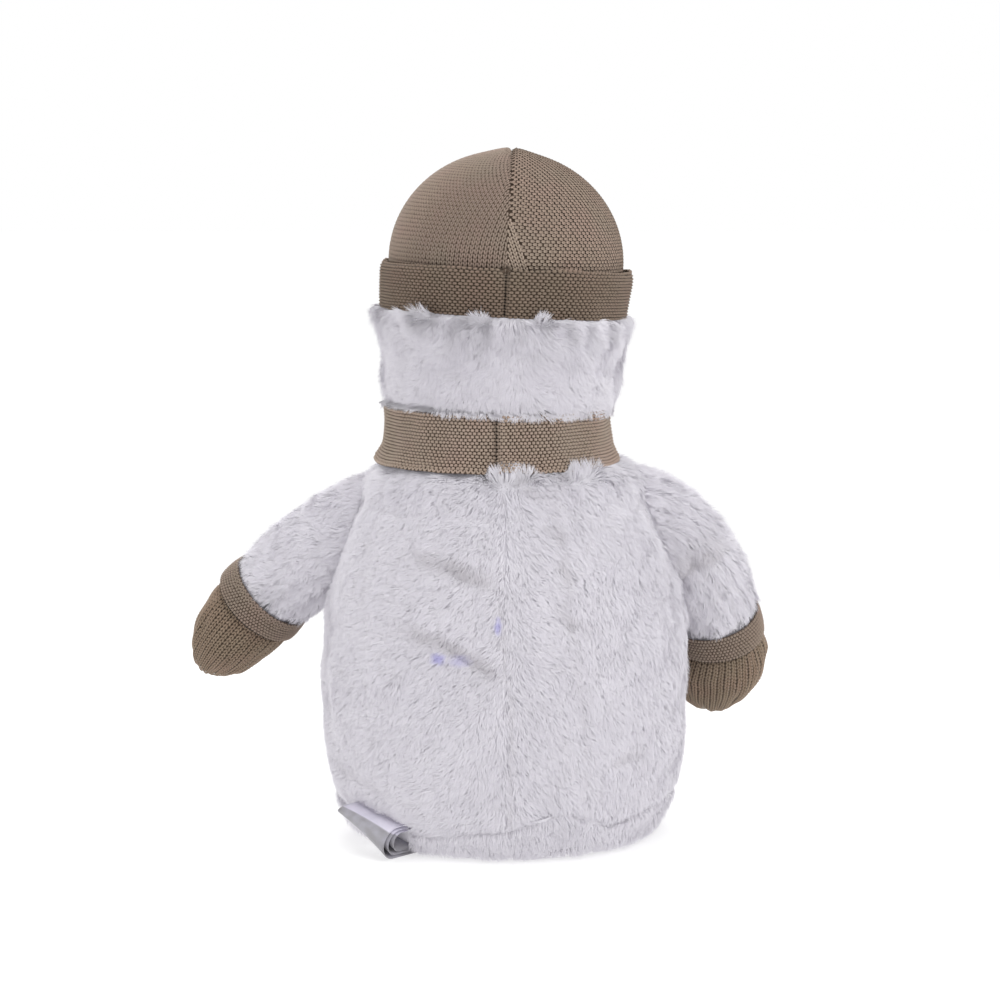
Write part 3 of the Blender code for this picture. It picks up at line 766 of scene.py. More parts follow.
def knit_piece(name, ground, *yarn, finish="yarn"):
    """A stuffed knitted piece: the ground and the yarn on it in one mesh."""
    points, quads, triangles, part = joined((*ground, NO_TRIANGLES), *yarn)
    finishes = [FINISH["ground"], FINISH[finish]]
    piece = mesh_piece(name, points, quads, triangles, finishes, np.minimum(part, 1))
    on_ground = np.zeros(len(ground[0]))
    grains = (len(points) - len(on_ground)) // GRAIN_POINTS
    # The ground is painted wholly in shade, and each grain lit only along its ridge.
    write_values(piece, "yarn_painted_light", np.concatenate([on_ground, np.tile(GRAIN_PAINTED_LIGHT, grains)]))
    return piece


def yarn_piece(name, *parts, finish="yarn", ends=None):
    """Stitches alone, and the yarn ends of a fringe if there are any."""
    points, quads, triangles, _ = joined(*parts)
    heights = np.tile(GRAIN_PAINTED_LIGHT, len(points) // GRAIN_POINTS)
    if ends is not None:
        points, quads, triangles, _ = joined((points, quads, triangles), ends)
        heights = np.concatenate([heights, np.full(len(ends[0]), FRINGE_PAINTED_LIGHT)])
    piece = mesh_piece(name, points, quads, triangles, [FINISH[finish]])
    write_values(piece, "yarn_painted_light", heights)
    return piece


# Finishes

def node_group(name, inputs, outputs):
    """An empty shader node group with named sockets. Returns it with its input and output nodes."""
    group = bpy.data.node_groups.new(name, "ShaderNodeTree")
    for socket, kind, value in inputs:
        made = group.interface.new_socket(socket, in_out="INPUT", socket_type=kind)
        if value is not None:
            made.default_value = value
    for socket, kind in outputs:
        group.interface.new_socket(socket, in_out="OUTPUT", socket_type=kind)
    return group, group.nodes.new("NodeGroupInput"), group.nodes.new("NodeGroupOutput")


def mix_colours(tree, share, first, second):
    """Mixes two colours or sockets by a share or a socket, and returns the result."""
    node = tree.nodes.new("ShaderNodeMix")
    node.data_type = "RGBA"
    for socket, value in ((node.inputs[0], share), (node.inputs[6], first), (node.inputs[7], second)):
        feed(tree, socket, value)
    return node.outputs[2]


def feed(tree, socket, value):
    """Links a socket to another, or sets it to a number or a colour."""
    if isinstance(value, bpy.types.NodeSocket):
        tree.links.new(value, socket)
    elif isinstance(value, tuple) and len(value) == 3 and socket.type == "RGBA":
        socket.default_value = (*value, 1.0)
    else:
        socket.default_value = value


def calculate(tree, operation, first, second=0.0):
    """One sum of two numbers or sockets."""
    node = tree.nodes.new("ShaderNodeMath")
    node.operation = operation
    feed(tree, node.inputs[0], first)
    feed(tree, node.inputs[1], second)
    return node.outputs[0]


def remap(tree, value, low, high, to_low=0.0, to_high=1.0):
    """Stretches a range of values to another range."""
    node = tree.nodes.new("ShaderNodeMapRange")
    for i, setting in enumerate((value, low, high, to_low, to_high)):
        feed(tree, node.inputs[i], setting)
    return node.outputs[0]


def object_place(tree):
    """The place on the piece, in its own coordinates."""
    return tree.nodes.new("ShaderNodeTexCoord").outputs["Object"]


def distance_from_origin(tree, place):
    """How far a place is from the origin of its coordinates."""
    node = tree.nodes.new("ShaderNodeVectorMath")
    node.operation = "LENGTH"
    tree.links.new(place, node.inputs[0])
    return node.outputs["Value"]


def noise(tree, scale, detail=3.0, stretch=None):
    """Noise over the toy's own coordinates, in features of about 1/scale metres."""
    place = object_place(tree)
    if stretch is not None:
        mapping = tree.nodes.new("ShaderNodeMapping")
        mapping.inputs["Scale"].default_value = stretch
        tree.links.new(place, mapping.inputs["Vector"])
        place = mapping.outputs["Vector"]
    node = tree.nodes.new("ShaderNodeTexNoise")
    node.inputs["Scale"].default_value = scale
    node.inputs["Detail"].default_value = detail
    tree.links.new(place, node.inputs["Vector"])
    return node.outputs["Fac"]


def mottle_group():
    """Soft patches of a second colour, such as handling and dye leave."""
    inputs = [
        ("Colour", "NodeSocketColor", None),
        ("Patch Colour", "NodeSocketColor", None),
        ("Size", "NodeSocketFloat", 40.0),
        ("Strength", "NodeSocketFloat", 0.3),
    ]
    group, given, result = node_group("soft_patches", inputs, [("Colour", "NodeSocketColor")])
    cloud = group.nodes.new("ShaderNodeTexNoise")
    cloud.inputs["Detail"].default_value = 2.5
    group.links.new(object_place(group), cloud.inputs["Vector"])
    group.links.new(given.outputs["Size"], cloud.inputs["Scale"])
    mask = remap(group, cloud.outputs["Fac"], 0.42, 0.66)
    strength = calculate(group, "MULTIPLY", mask, given.outputs["Strength"])
    mixed = mix_colours(group, strength, given.outputs["Colour"], given.outputs["Patch Colour"])
    group.links.new(mixed, result.inputs["Colour"])
    return group


def fleck_group():
    """The fine light and dark of spun fibres, with a matching height."""
    inputs = [
        ("Colour", "NodeSocketColor", None),
        ("Scale", "NodeSocketFloat", 1500.0),
        ("Contrast", "NodeSocketFloat", 0.3),
    ]
    outputs = [("Colour", "NodeSocketColor"), ("Height", "NodeSocketFloat")]
    group, given, result = node_group("fibre_flecks", inputs, outputs)
    fibre = group.nodes.new("ShaderNodeTexNoise")
    fibre.inputs["Detail"].default_value = 4.0
    fibre.inputs["Roughness"].default_value = 0.65
    group.links.new(object_place(group), fibre.inputs["Vector"])
    group.links.new(given.outputs["Scale"], fibre.inputs["Scale"])
    swing = calculate(group, "SUBTRACT", fibre.outputs["Fac"], 0.5)
    swing = calculate(group, "MULTIPLY", swing, given.outputs["Contrast"])
    shade = calculate(group, "ADD", calculate(group, "MULTIPLY", swing, 2.0), 1.0)
    tinted = group.nodes.new("ShaderNodeVectorMath")
    tinted.operation = "SCALE"
    group.links.new(given.outputs["Colour"], tinted.inputs[0])
    group.links.new(shade, tinted.inputs["Scale"])
    group.links.new(tinted.outputs[0], result.inputs["Colour"])
    group.links.new(fibre.outputs["Fac"], result.inputs["Height"])
    return group


def use_group(tree, group, **values):
    """Places a group in a material, with its own values for the group's inputs."""
    node = tree.nodes.new("ShaderNodeGroup")
    node.node_tree = group
    for name, value in values.items():
        feed(tree, node.inputs[name.replace("_", " ")], value)
    return node


def new_finish(name, roughness=0.8, **constants):
    """A material with its Principled shader. The constants are set on the shader's own sockets."""
    material = bpy.data.materials.new(name)
    material.use_nodes = True
    shader = material.node_tree.nodes["Principled BSDF"]
    shader.inputs["Roughness"].default_value = roughness
    for socket, value in constants.items():
        shader.inputs[socket.replace("_", " ")].default_value = value
    return material, material.node_tree, shader


def add_bump(tree, shader, height, strength, distance):
    """Raises the surface's look by a height, without moving it."""
    bump = tree.nodes.new("ShaderNodeBump")
    bump.inputs["Strength"].default_value = strength
    bump.inputs["Distance"].default_value = distance
    tree.links.new(height, bump.inputs["Height"])
    tree.links.new(bump.outputs["Normal"], shader.inputs["Normal"])


def attribute(tree, name):
    """The number that write_values gave each point under that name."""
    node = tree.nodes.new("ShaderNodeAttribute")
    node.attribute_name = name
    return node.outputs["Fac"]


def spot_mask(tree, centre, size, ragged=0.45):
    """1 inside a ragged spot about a point, fading to 0 at its edge. size is half its extent by axis."""
    mapping = tree.nodes.new("ShaderNodeMapping")
    mapping.vector_type = "TEXTURE"
    mapping.inputs["Location"].default_value = centre
    mapping.inputs["Scale"].default_value = size
    tree.links.new(object_place(tree), mapping.inputs["Vector"])
    broken = calculate(tree, "MULTIPLY", noise(tree, 420.0, 3.0), ragged * 2)
    edge = calculate(tree, "ADD", distance_from_origin(tree, mapping.outputs["Vector"]), broken)
    return remap(tree, edge, 0.75, 1.45, 1.0, 0.0)


PILE_TIP = (0.790, 0.770, 0.812)
# The roots are painted lighter than the tips, as painted light that lifts the shade deep in the pile.
PILE_ROOT_PAINTED_LIGHT = (0.830, 0.812, 0.850)
PILE_COOL = (0.640, 0.622, 0.680)
# The painted shadow grey that strands are mixed towards: in folds, along the back's middle seam, above the
# right elbow and over the whole head.
PILE_PAINTED_SHADOW = (0.50, 0.475, 0.50)
# How strongly a fibre seen from behind glows in its own colour: a painted glow that stands in for light
# passing through it.
PILE_PAINTED_GLOW = 0.20
INK = (0.40, 0.38, 0.78)
# Ink stains on the back: each spot's centre, its half-extent on each axis, and how strong it is.
INK_SPOTS = [
    ((0.0280, 0.0660, 0.0890), (0.0042, 0.02, 0.0030), 0.60),
    ((0.0190, 0.0660, 0.0885), (0.0060, 0.02, 0.0034), 0.30),
    ((0.0030, 0.0705, 0.1030), (0.0020, 0.02, 0.0048), 0.55),
]
YARN = (0.322, 0.246, 0.196)
# The same taupe yarn painted lighter, as painted light, and darker, as painted shade: the darkest copy for
# the brim, the next for the mittens.
YARN_PAINTED_LIT = (0.412, 0.318, 0.254)
YARN_PAINTED_SHADE = (0.246, 0.182, 0.137)
MITTEN_YARN_PAINTED_SHADE = (0.296, 0.216, 0.154)
# What the dye's drift multiplies a yarn's colour by.
YARN_PINK = (1.10, 0.97, 1.05)
YARN_GREEN = (0.85, 1.01, 0.98)
# The knit's ground and the cloth under every band: the same yarn, painted dark as the shade between and
# under the stitches.
GROUND_PAINTED_SHADE = (0.200, 0.142, 0.104)
THREAD = (0.20, 0.15, 0.11)
FELT = (0.80, 0.27, 0.06)
FELT_DEEP = (0.70, 0.20, 0.04)
SATIN = (0.70, 0.67, 0.78)
# The painted shadow on a label loop's lower side and the strip under it.
SATIN_PAINTED_SHADOW = (0.30, 0.29, 0.31)
SATIN_SHADE = (0.52, 0.51, 0.60)
EYE = (0.012, 0.012, 0.014)
EYE_SCUFFED = (0.03, 0.03, 0.03)
BUTTON = (0.050, 0.034, 0.026)
BUTTON_SCUFFED = (0.08, 0.06, 0.05)
WADDING = (0.80, 0.80, 0.80)
BLACK = (0.0, 0.0, 0.0)


def pile_finish(patches):
    """White fibres with cooler ones among them and the ink stains on the back, their roots painted lighter,
    painted shade in folds and other shaded places, and a painted glow where a fibre is seen from behind.
    """
    material, tree, shader = new_finish(
        "white_pile", 0.85, Sheen_Weight=0.15, Sheen_Roughness=0.6,
        Emission_Strength=1.0, Specular_IOR_Level=0.15)
    # Painted light: the roots and the backing are painted lighter than the tips.
    height = attribute(tree, "pile_height")
    colour = mix_colours(tree, remap(tree, height, 0.0, 0.75), PILE_ROOT_PAINTED_LIGHT, PILE_TIP)
    tone = calculate(tree, "MULTIPLY", attribute(tree, "strand_tone"), 0.45)
    colour = mix_colours(tree, tone, colour, PILE_COOL)
    # Painted shade: each strand is mixed towards the shadow grey by how much painted shade it took.
    folded = calculate(tree, "MULTIPLY", attribute(tree, "pile_painted_shade"), 0.60)
    colour = mix_colours(tree, folded, colour, PILE_PAINTED_SHADOW)
    clouds = use_group(tree, patches, Colour=colour, Patch_Colour=PILE_COOL, Size=38.0, Strength=0.14)
    colour = clouds.outputs["Colour"]
    for centre, size, strength in INK_SPOTS:
        mask = calculate(tree, "MULTIPLY", spot_mask(tree, centre, size), strength)
        colour = mix_colours(tree, mask, colour, INK)
    tree.links.new(colour, shader.inputs["Base Color"])
    # Painted glow: a fibre seen from behind glows in its own colour, standing in for light that passes
    # through it.
    seen_from_behind = tree.nodes.new("ShaderNodeNewGeometry").outputs["Backfacing"]
    through = calculate(tree, "MULTIPLY", seen_from_behind, PILE_PAINTED_GLOW)
    tree.links.new(mix_colours(tree, through, BLACK, colour), shader.inputs["Emission Color"])
    material.cycles.emission_sampling = "NONE"
    return material


def knit_finish(name, base, patches, flecks, contrast, depth=0.56):
    """Spun yarn in a taupe that drifts towards pink and green, as the dye took, with painted shade where it
    lies low.

    depth is how bright its lowest parts are painted, in painted shade, for its ridges.
    """
    material, tree, shader = new_finish(
        name, 0.9, Sheen_Weight=0.12, Sheen_Roughness=0.5, Specular_IOR_Level=0.2)
    pink = tuple(b * shift for b, shift in zip(base, YARN_PINK))
    green = tuple(b * shift for b, shift in zip(base, YARN_GREEN))
    shadow = tuple(b * depth for b in base)
    warm = use_group(tree, patches, Colour=base, Patch_Colour=pink, Size=70.0, Strength=0.4)
    warmed = warm.outputs["Colour"]
    cool = use_group(tree, patches, Colour=warmed, Patch_Colour=green, Size=47.0, Strength=0.3)
    spun = use_group(tree, flecks, Colour=cool.outputs["Colour"], Scale=1700.0, Contrast=contrast)
    # Painted shade: each grain is painted darker towards its ends and sides, and a piece's ground wholly so.
    height = remap(tree, attribute(tree, "yarn_painted_light"), 0.0, 0.85)
    colour = mix_colours(tree, height, shadow, spun.outputs["Colour"])
    tree.links.new(colour, shader.inputs["Base Color"])
    add_bump(tree, shader, spun.outputs["Height"], 0.5, 0.0002)
    return material


def felt_finish(patches, flecks):
    """Pressed orange felt, a little deeper in patches."""
    material, tree, shader = new_finish("carrot_felt", 0.95, Sheen_Weight=0.2)
    soft = use_group(tree, patches, Colour=FELT, Patch_Colour=FELT_DEEP, Size=120.0, Strength=0.6)
    spun = use_group(tree, flecks, Colour=soft.outputs["Colour"], Scale=2200.0, Contrast=0.35)
    tree.links.new(spun.outputs["Colour"], shader.inputs["Base Color"])
    add_bump(tree, shader, spun.outputs["Height"], 0.8, 0.0004)
    return material


def satin_finish(patches):
    """Woven ribbon: fine threads across it, with the soft sheen of satin, painted in shadow on its loops'
    lower sides.
    """
    material, tree, shader = new_finish("ribbon_satin", 0.38, Sheen_Weight=0.1)
    # Painted shadow on each loop's lower side.
    face = mix_colours(tree, attribute(tree, "ribbon_painted_shadow"), SATIN, SATIN_PAINTED_SHADOW)
    soft = use_group(tree, patches, Colour=face, Patch_Colour=SATIN_SHADE, Size=160.0, Strength=0.4)
    threads = noise(tree, 900.0, 2.0, stretch=(1.0, 1.0, 6.0))
    tree.links.new(soft.outputs["Colour"], shader.inputs["Base Color"])
    tree.links.new(remap(tree, threads, 0.3, 0.7, 0.30, 0.48), shader.inputs["Roughness"])
    add_bump(tree, shader, threads, 0.3, 0.0001)
    return material


def gloss_finish(name, colour, scuffed, roughness, patches):
    """Moulded plastic with faint scuffs that dull it."""
    material, tree, shader = new_finish(name, roughness, Coat_Weight=0.4, Coat_Roughness=0.1)
    soft = use_group(tree, patches, Colour=colour, Patch_Colour=scuffed, Size=260.0, Strength=0.5)
    tree.links.new(soft.outputs["Colour"], shader.inputs["Base Color"])
    scuffs = noise(tree, 700.0, 5.0)
    dulled = remap(tree, scuffs, 0.35, 0.7, roughness * 0.7, roughness * 1.5)
    tree.links.new(dulled, shader.inputs["Roughness"])
    add_bump(tree, shader, scuffs, 0.15, 0.0001)
    return material


def wadding_finish(flecks):
    """The loose white fibres of the stuffing."""
    material, tree, shader = new_finish("wadding", 1.0)
    spun = use_group(tree, flecks, Colour=WADDING, Scale=500.0, Contrast=0.3)
    tree.links.new(spun.outputs["Colour"], shader.inputs["Base Color"])
    add_bump(tree, shader, spun.outputs["Height"], 0.8, 0.001)
    return material


def make_finishes():
    """Every material of the toy, by the name that its pieces use."""
    patches, flecks = mottle_group(), fleck_group()
    return {
        "pile": pile_finish(patches),
        "yarn": knit_finish("taupe_yarn", YARN, patches, flecks, 0.45),
        # Copies of the taupe yarn painted lighter and darker: painted light for the crown's right half and
        # the scarf, painted shade for the brim and the mittens.
        "painted_lit_yarn": knit_finish("taupe_yarn_painted_lit", YARN_PAINTED_LIT, patches, flecks, 0.45, depth=0.62),
        "painted_shade_yarn": knit_finish("taupe_yarn_painted_shade", YARN_PAINTED_SHADE, patches, flecks, 0.45),
        "mitten_painted_shade_yarn": knit_finish("mitten_taupe_yarn_painted_shade", MITTEN_YARN_PAINTED_SHADE, patches, flecks, 0.5, depth=0.44),
        # The ground, painted dark as the shade between the stitches.
        "ground": knit_finish("knit_ground_painted_shade", GROUND_PAINTED_SHADE, patches, flecks, 0.3),
        "felt": felt_finish(patches, flecks),
        "satin": satin_finish(patches),
        "eye": gloss_finish("eye_plastic", EYE, EYE_SCUFFED, 0.12, patches),
        "button": gloss_finish("button_plastic", BUTTON, BUTTON_SCUFFED, 0.35, patches),
        # The thread has no lit share on its points, so the whole of it takes the painted shade.
        "thread": knit_finish("sewing_thread", THREAD, patches, flecks, 0.3),
        "wadding": wadding_finish(flecks),
    }


FINISH = make_finishes()


# Fur panels

SIDE_SEAM_GIRTH = 0.08
BODY_SWELLS = ripple(0.030, 51, 0.0007)
BODY_DENTS = ripple(0.013, 52, 0.0004)


def body_folds(turn, height):
    """How far folds and creases press the body's backing in, and each fold's overhang pushes it out."""
    x = half_width(BODY_PROFILE, height) * np.sin(turn * FULL_TURN)
    behind = np.cos(turn * FULL_TURN) > 0
    lift = np.zeros_like(height)
    for fold in BACK_FOLDS:
        xs, heights = np.array(fold).T
        away = height - np.interp(x, xs, heights)
        begun = ramp(x, xs[0] - 0.003, xs[0] + 0.008)
        there = begun * (1 - ramp(x, xs[-1] - 0.024, xs[-1] + 0.006)) * behind
        there = there * (1 + 0.25 * np.sin(x * 400.0))
        lift -= FOLD_DEPTH * there * bell(away, FOLD_WIDTH)
        lift += 0.4 * FOLD_DEPTH * there * bell(away - 2.4 * FOLD_WIDTH, 1.5 * FOLD_WIDTH)
    for start, end, depth in BACK_CREASES:
        start, way = np.array(start), np.array(end) - np.array(start)
        along = ((x - start[0]) * way[0] + (height - start[1]) * way[1]) / way.dot(way)
        along = np.clip(along, 0.0, 1.0)
        away = np.hypot(x - start[0] - along * way[0], height - start[1] - along * way[1])
        lift -= 0.28 * depth * behind * bell(away, CREASE_WIDTH)
    return lift


def body_relief(turn, height):
    """How far the body's backing is pressed in or pushed out by its stuffing, seams and folds."""
    x = half_width(BODY_PROFILE, height) * np.sin(turn * FULL_TURN)
    behind = np.cos(turn * FULL_TURN) > 0
    middle = seam_x(height)
    side = (np.abs(turn - np.round(turn)) - 0.25) * FULL_TURN * SIDE_SEAM_GIRTH
    lift = BODY_SWELLS(turn, height) + BODY_DENTS(turn, height) + body_folds(turn, height)
    lift -= 0.0006 * bell(x - middle, 0.0014) * behind * (1 - ramp(height, 0.118, 0.135))
    lift += 0.0011 * bell(x - middle + 0.0026, 0.0030) * behind * ramp(height, 0.112, 0.130)
    lift -= 0.0010 * bell(side, 0.0022)
    lift -= 0.0014 * bell(height - hem_height(turn), 0.0024)
    lift += 0.0032 * ramp(height, 0.1470, 0.1570)
    return lift


def body_painted_shade(turn, root):
    """How much painted shade the strands at these roots take, where their tips hang in a fold or in the
    middle seam.
    """
    height = root[:, 2] - 0.5 * STRAND_LENGTH
    seam = bell(root[:, 0] - seam_x(height), 0.0010) * (root[:, 1] > 0) * (1 - ramp(height, 0.105, 0.125))
    return np.clip(-body_folds(turn, height) / FOLD_DEPTH + 0.5 * seam, 0.0, 1.0)


def seam_x(height):
    """Where the back's middle seam runs."""
    return np.interp(height, [p[1] for p in MIDDLE_SEAM], [p[0] for p in MIDDLE_SEAM])


def hem_height(turn):
    """How high the seam between the body and its base lies."""
    x = BODY_PROFILE[0][0] * np.sin(turn * FULL_TURN)
    wandering = np.interp(x, [p[0] for p in HEM_LINE], [p[1] for p in HEM_LINE])
    return np.where(np.cos(turn * FULL_TURN) > 0, wandering, HEM_IN_FRONT)


def body_lay(turn, share, root):
    """Down and away from the middle seam behind, straight down in front, and up round the scarf."""
    turn = turn - np.round(turn)
    near_side = 24 * ramp(turn, 0.19, 0.27)
    left = np.radians(26 * ramp(turn, -0.004, 0.010) + 24 * ramp(turn, 0.0, 0.07) - near_side)
    right = -np.radians(46 * ramp(-turn, -0.004, 0.030) - 32 * ramp(-turn, 0.03, 0.075))
    front = np.sign(turn) * np.radians(10) * (1 - ramp(np.abs(turn), 0.40, 0.50))
    behind = 1 - ramp(np.abs(turn), 0.24, 0.34)
    swing = np.where(turn > 0, left, right) * behind + front * (1 - behind)
    swing += 0.20 * drift(root, 0.030, 11) + 0.18 * drift(root, 0.011, 14)
    rising = ramp(root[:, 2], 0.1500, 0.1600)
    crest = tufts_along(root[:, 0], CREST_TUFTS) * ramp(root[:, 2], 0.1575, 0.1605) * (root[:, 1] > 0)
    lean = np.radians(62) + 0.08 * drift(root, 0.022, 12) - 0.06 * rising
    reach = 1 + 0.06 * drift(root, 0.017, 13) + 0.12 * rising + 0.20 * crest
    return swing * (1 - 0.5 * rising), lean * (1 - crest) - 0.60 * crest, reach


def tufts_along(x, places):
    """1 in the middle of each of some tufts along x, given as (middle, half-width), and 0 between them."""
    return np.minimum(sum(bell(x - middle, width) for middle, width in places), 1.0)


def base_lay(turn, share, root):
    """Down towards the floor, and out."""
    swing = 0.35 * drift(root, 0.020, 21)
    lean = np.radians(46) + 0.12 * drift(root, 0.015, 22)
    return swing, lean, 1.0 + 0.08 * drift(root, 0.012, 23)


def head_lay(turn, share, root):
    """Out under the brim, and down over the scarf, away from the middle seam."""
    turn = turn - np.round(turn)
    near_top, near_foot = ramp(share, 0.45, 1.0), 1 - ramp(share, 0.10, 0.34)
    swing = np.radians(34) * np.clip(turn / 0.05, -1, 1) * (1 - ramp(np.abs(turn), 0.20, 0.30))
    swing = swing + 0.50 * drift(root, 0.022, 31) + 0.30 * drift(root, 0.010, 34)
    here_and_there = np.clip(0.5 + drift(root, 0.010, 36), 0.0, 1.0)
    standing = near_top * here_and_there * (1 - 0.6 * ramp(np.abs(turn), 0.14, 0.24))
    lean = np.radians(54) - 0.55 * standing + 0.12 * drift(root, 0.016, 32) - 0.06 * near_foot
    over_edge = tufts_along(root[:, 0], EDGE_TUFTS) * ramp(share, 0.88, 0.97) * (root[:, 1] > 0)
    swing = swing * (1 - 0.6 * over_edge)
    shorter = near_foot * (0.24 - 0.20 * ramp(-root[:, 0], 0.010, 0.036)) * ramp(root[:, 1], 0.0, 0.020)
    reach = 1.0 + 0.12 * drift(root, 0.013, 33) + 0.18 * standing + 0.20 * over_edge - shorter
    return swing, np.maximum(lean, 0.12) * (1 - over_edge) - 0.60 * over_edge, reach


def sleeve_lay(turn, share, root):
    """Along the arm towards the hand, and out over the cuff's edge."""
    near_cuff = ramp(share, 0.80, 0.94)
    swing = math.pi + 0.34 * drift(root, 0.024, 41) + 0.34 * drift(root, 0.009, 44)
    lean = np.radians(52) + 0.10 * drift(root, 0.018, 42) - 0.20 * near_cuff
    return swing, lean, 1.0 + 0.06 * drift(root, 0.014, 43)


def outside_body(points):
    """True for points that are clear of the body's backing."""
    width = half_width(BODY_PROFILE, points[:, 2], beyond=0.0)
    width = np.maximum(width - PILE_DEPTH, TINY)
    return np.hypot(points[:, 0], points[:, 1] / body_depth(points[:, 2])) > width


def outside_scarf(points):
    """True for points that are clear of the neck band."""
    inside_heights = (points[:, 2] > SCARF_OUTER[0][1]) & (points[:, 2] < SCARF_OUTER[-1][1])
    width = half_width(SCARF_OUTER, points[:, 2])
    reach = np.hypot(points[:, 0] - NECK_PIVOT[0], points[:, 1] / HEAD_DEPTH)
    return ~inside_heights | (reach > width + 0.0006)


def over_scarf(points, low=0.1760, high=SCARF_OUTER[-1][1] + 0.0010):
    """Moves points that are inside the neck band out onto it, between two heights."""
    x, y = points[:, 0] - NECK_PIVOT[0], points[:, 1] / HEAD_DEPTH
    width = half_width(SCARF_OUTER, points[:, 2])
    near = (points[:, 2] > low) & (points[:, 2] < high)
    distance = np.maximum(np.hypot(x, y), TINY)
    room = 0.0011 + 0.0006 * drift(points, 0.003, 71)
    grow = np.where(near, np.maximum((width + room) / distance, 1.0), 1.0)
    return np.stack([x * grow + NECK_PIVOT[0], y * grow * HEAD_DEPTH, points[:, 2]], axis=1)


def crest_over_scarf(points):
    """Lays the back's crest tufts over the lower edge of the neck band."""
    moved = over_scarf(points, SCARF_OUTER[0][1] - 0.0010, 0.1700)
    in_crest = (tufts_along(points[:, 0], CREST_TUFTS) > 0.2) & (points[:, 1] > 0)
    return np.where(in_crest[:, None], moved, points)


def in_head(points):
    """Points in the head's own upright axes."""
    local = points - NECK_PIVOT
    x, y, z = local[:, 0], local[:, 1], local[:, 2]
    cos, sin = math.cos(HEAD_LEAN), math.sin(HEAD_LEAN)
    return np.stack([x * cos + z * sin, y, -x * sin + z * cos], axis=1)


def under_brim(points):
    """Moves points that are inside the hat's brim out past it if they are nearly through, or else down."""
    local = in_head(points)
    bottom = BRIM_FOLDED[-1][1] + BRIM_TILT * local[:, 1] - 0.0004
    width = np.hypot(local[:, 0], local[:, 1] / HEAD_DEPTH)
    outer = np.interp(local[:, 2] - BRIM_TILT * local[:, 1], *BRIM_OUTSIDE) + 0.0007
    inside = (local[:, 2] > bottom) & (width < outer)
    through = inside & (width > outer - 0.0018)
    grow = np.where(through, outer / np.maximum(width, TINY), 1.0)
    height = np.where(inside & ~through, bottom, local[:, 2])
    return leaning(np.stack([local[:, 0] * grow, local[:, 1] * grow, height], axis=1))


def outside_spots(points, spots):
    """True for points that are not within any spot, given as (point, direction, radius)."""
    free = np.ones(len(points), bool)
    for centre, way, radius in spots:
        away = points - np.array(centre)
        away -= np.outer(away @ np.array(way), way)
        free &= np.linalg.norm(away, axis=1) > radius
    return free


def dress(piece, replaced):
    """Says what a piece rides on, and hides the solids that it stands for."""
    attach(piece, "root")
    if replaced:
        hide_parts(*replaced)
    return piece


def tail_width(share):
    """A tail's width, that share of the way down it: it widens out of the knot."""
    return TAIL_WIDTH * (0.62 + 0.38 * ramp(share, 0.0, 0.5))


def tail_middle(which, share):
    """The x of a tail's middle, that share of the way down it."""
    side = 1 if which == "left" else -1
    return side * (TAIL_SPREAD[0] + (TAIL_SPREAD[1] - TAIL_SPREAD[0]) * share)


def body_front_depth(x, height):
    """How far in front of the body's axis its pile reaches, at that x and height."""
    width = half_width(BODY_PROFILE, height)
    return body_depth(height) * np.sqrt(np.maximum(width**2 - x**2, 0.0))


def body_front_point(x, height):
    """The point on the front of the body's pile, at that x and height."""
    return np.array((x, -float(body_front_depth(x, height)), height))


def head_front_point(x, height):
    """The point on the front of the head's pile, at that x and height in the head's own axes."""
    width = half_width(HEAD_PROFILE, height)
    return np.array((x, -HEAD_DEPTH * math.sqrt(width**2 - x**2), height))


def clear_of_label(points):
    """True for points that are clear of the label's loops."""
    away = points - np.array(LABEL_ROOT)
    along, up = away @ np.array(LABEL_NOSE_WAY), away @ np.array(LABEL_UP_WAY)
    across = away @ np.array(LABEL_WIDTH_WAY)
    beside = (across > -0.0008) & (across < LABEL_WIDTH + 0.0006)
    return ~(beside & (along > 0.002) & (along < 0.0260) & (up < LABEL_TOP + 0.0004))


def above_hem(points):
    """True for points above the seam between the body and its base."""
    turn = np.arctan2(points[:, 0], points[:, 1] / BELLY_DEPTH) / FULL_TURN
    return points[:, 2] > hem_height(turn)


def clear_of_sewn(points):
    """True for points that are clear of the neck band, the buttons, the knot and the scarf's tails."""
    buttons = [(body_front_point(0, z), (0, 1, 0), BUTTON_RADIUS * 1.02) for z in BUTTON_HEIGHTS.values()]
    x, height = points[:, 0], points[:, 2]
    hidden = (np.abs(x) < KNOT_SIZE[0] / 2) & (height > KNOT_CENTRE.z - KNOT_SIZE[2] / 2)
    for which, end in TAIL_ENDS.items():
        share = np.clip((TAIL_TOP - height) / (TAIL_TOP - end), 0.0, 1.0)
        beside = np.abs(x - tail_middle(which, share))
        hidden |= (beside < tail_width(share) * 0.48) & (height > end) & (height < TAIL_TOP)
    raised = -points[:, 1] > body_front_depth(x, height) - 0.0012
    return outside_scarf(points) & outside_spots(points, buttons) & ~(hidden & raised)


def beside_label(points):
    """True for points that are clear of the neck band and of the label."""
    return outside_scarf(points) & clear_of_label(points)


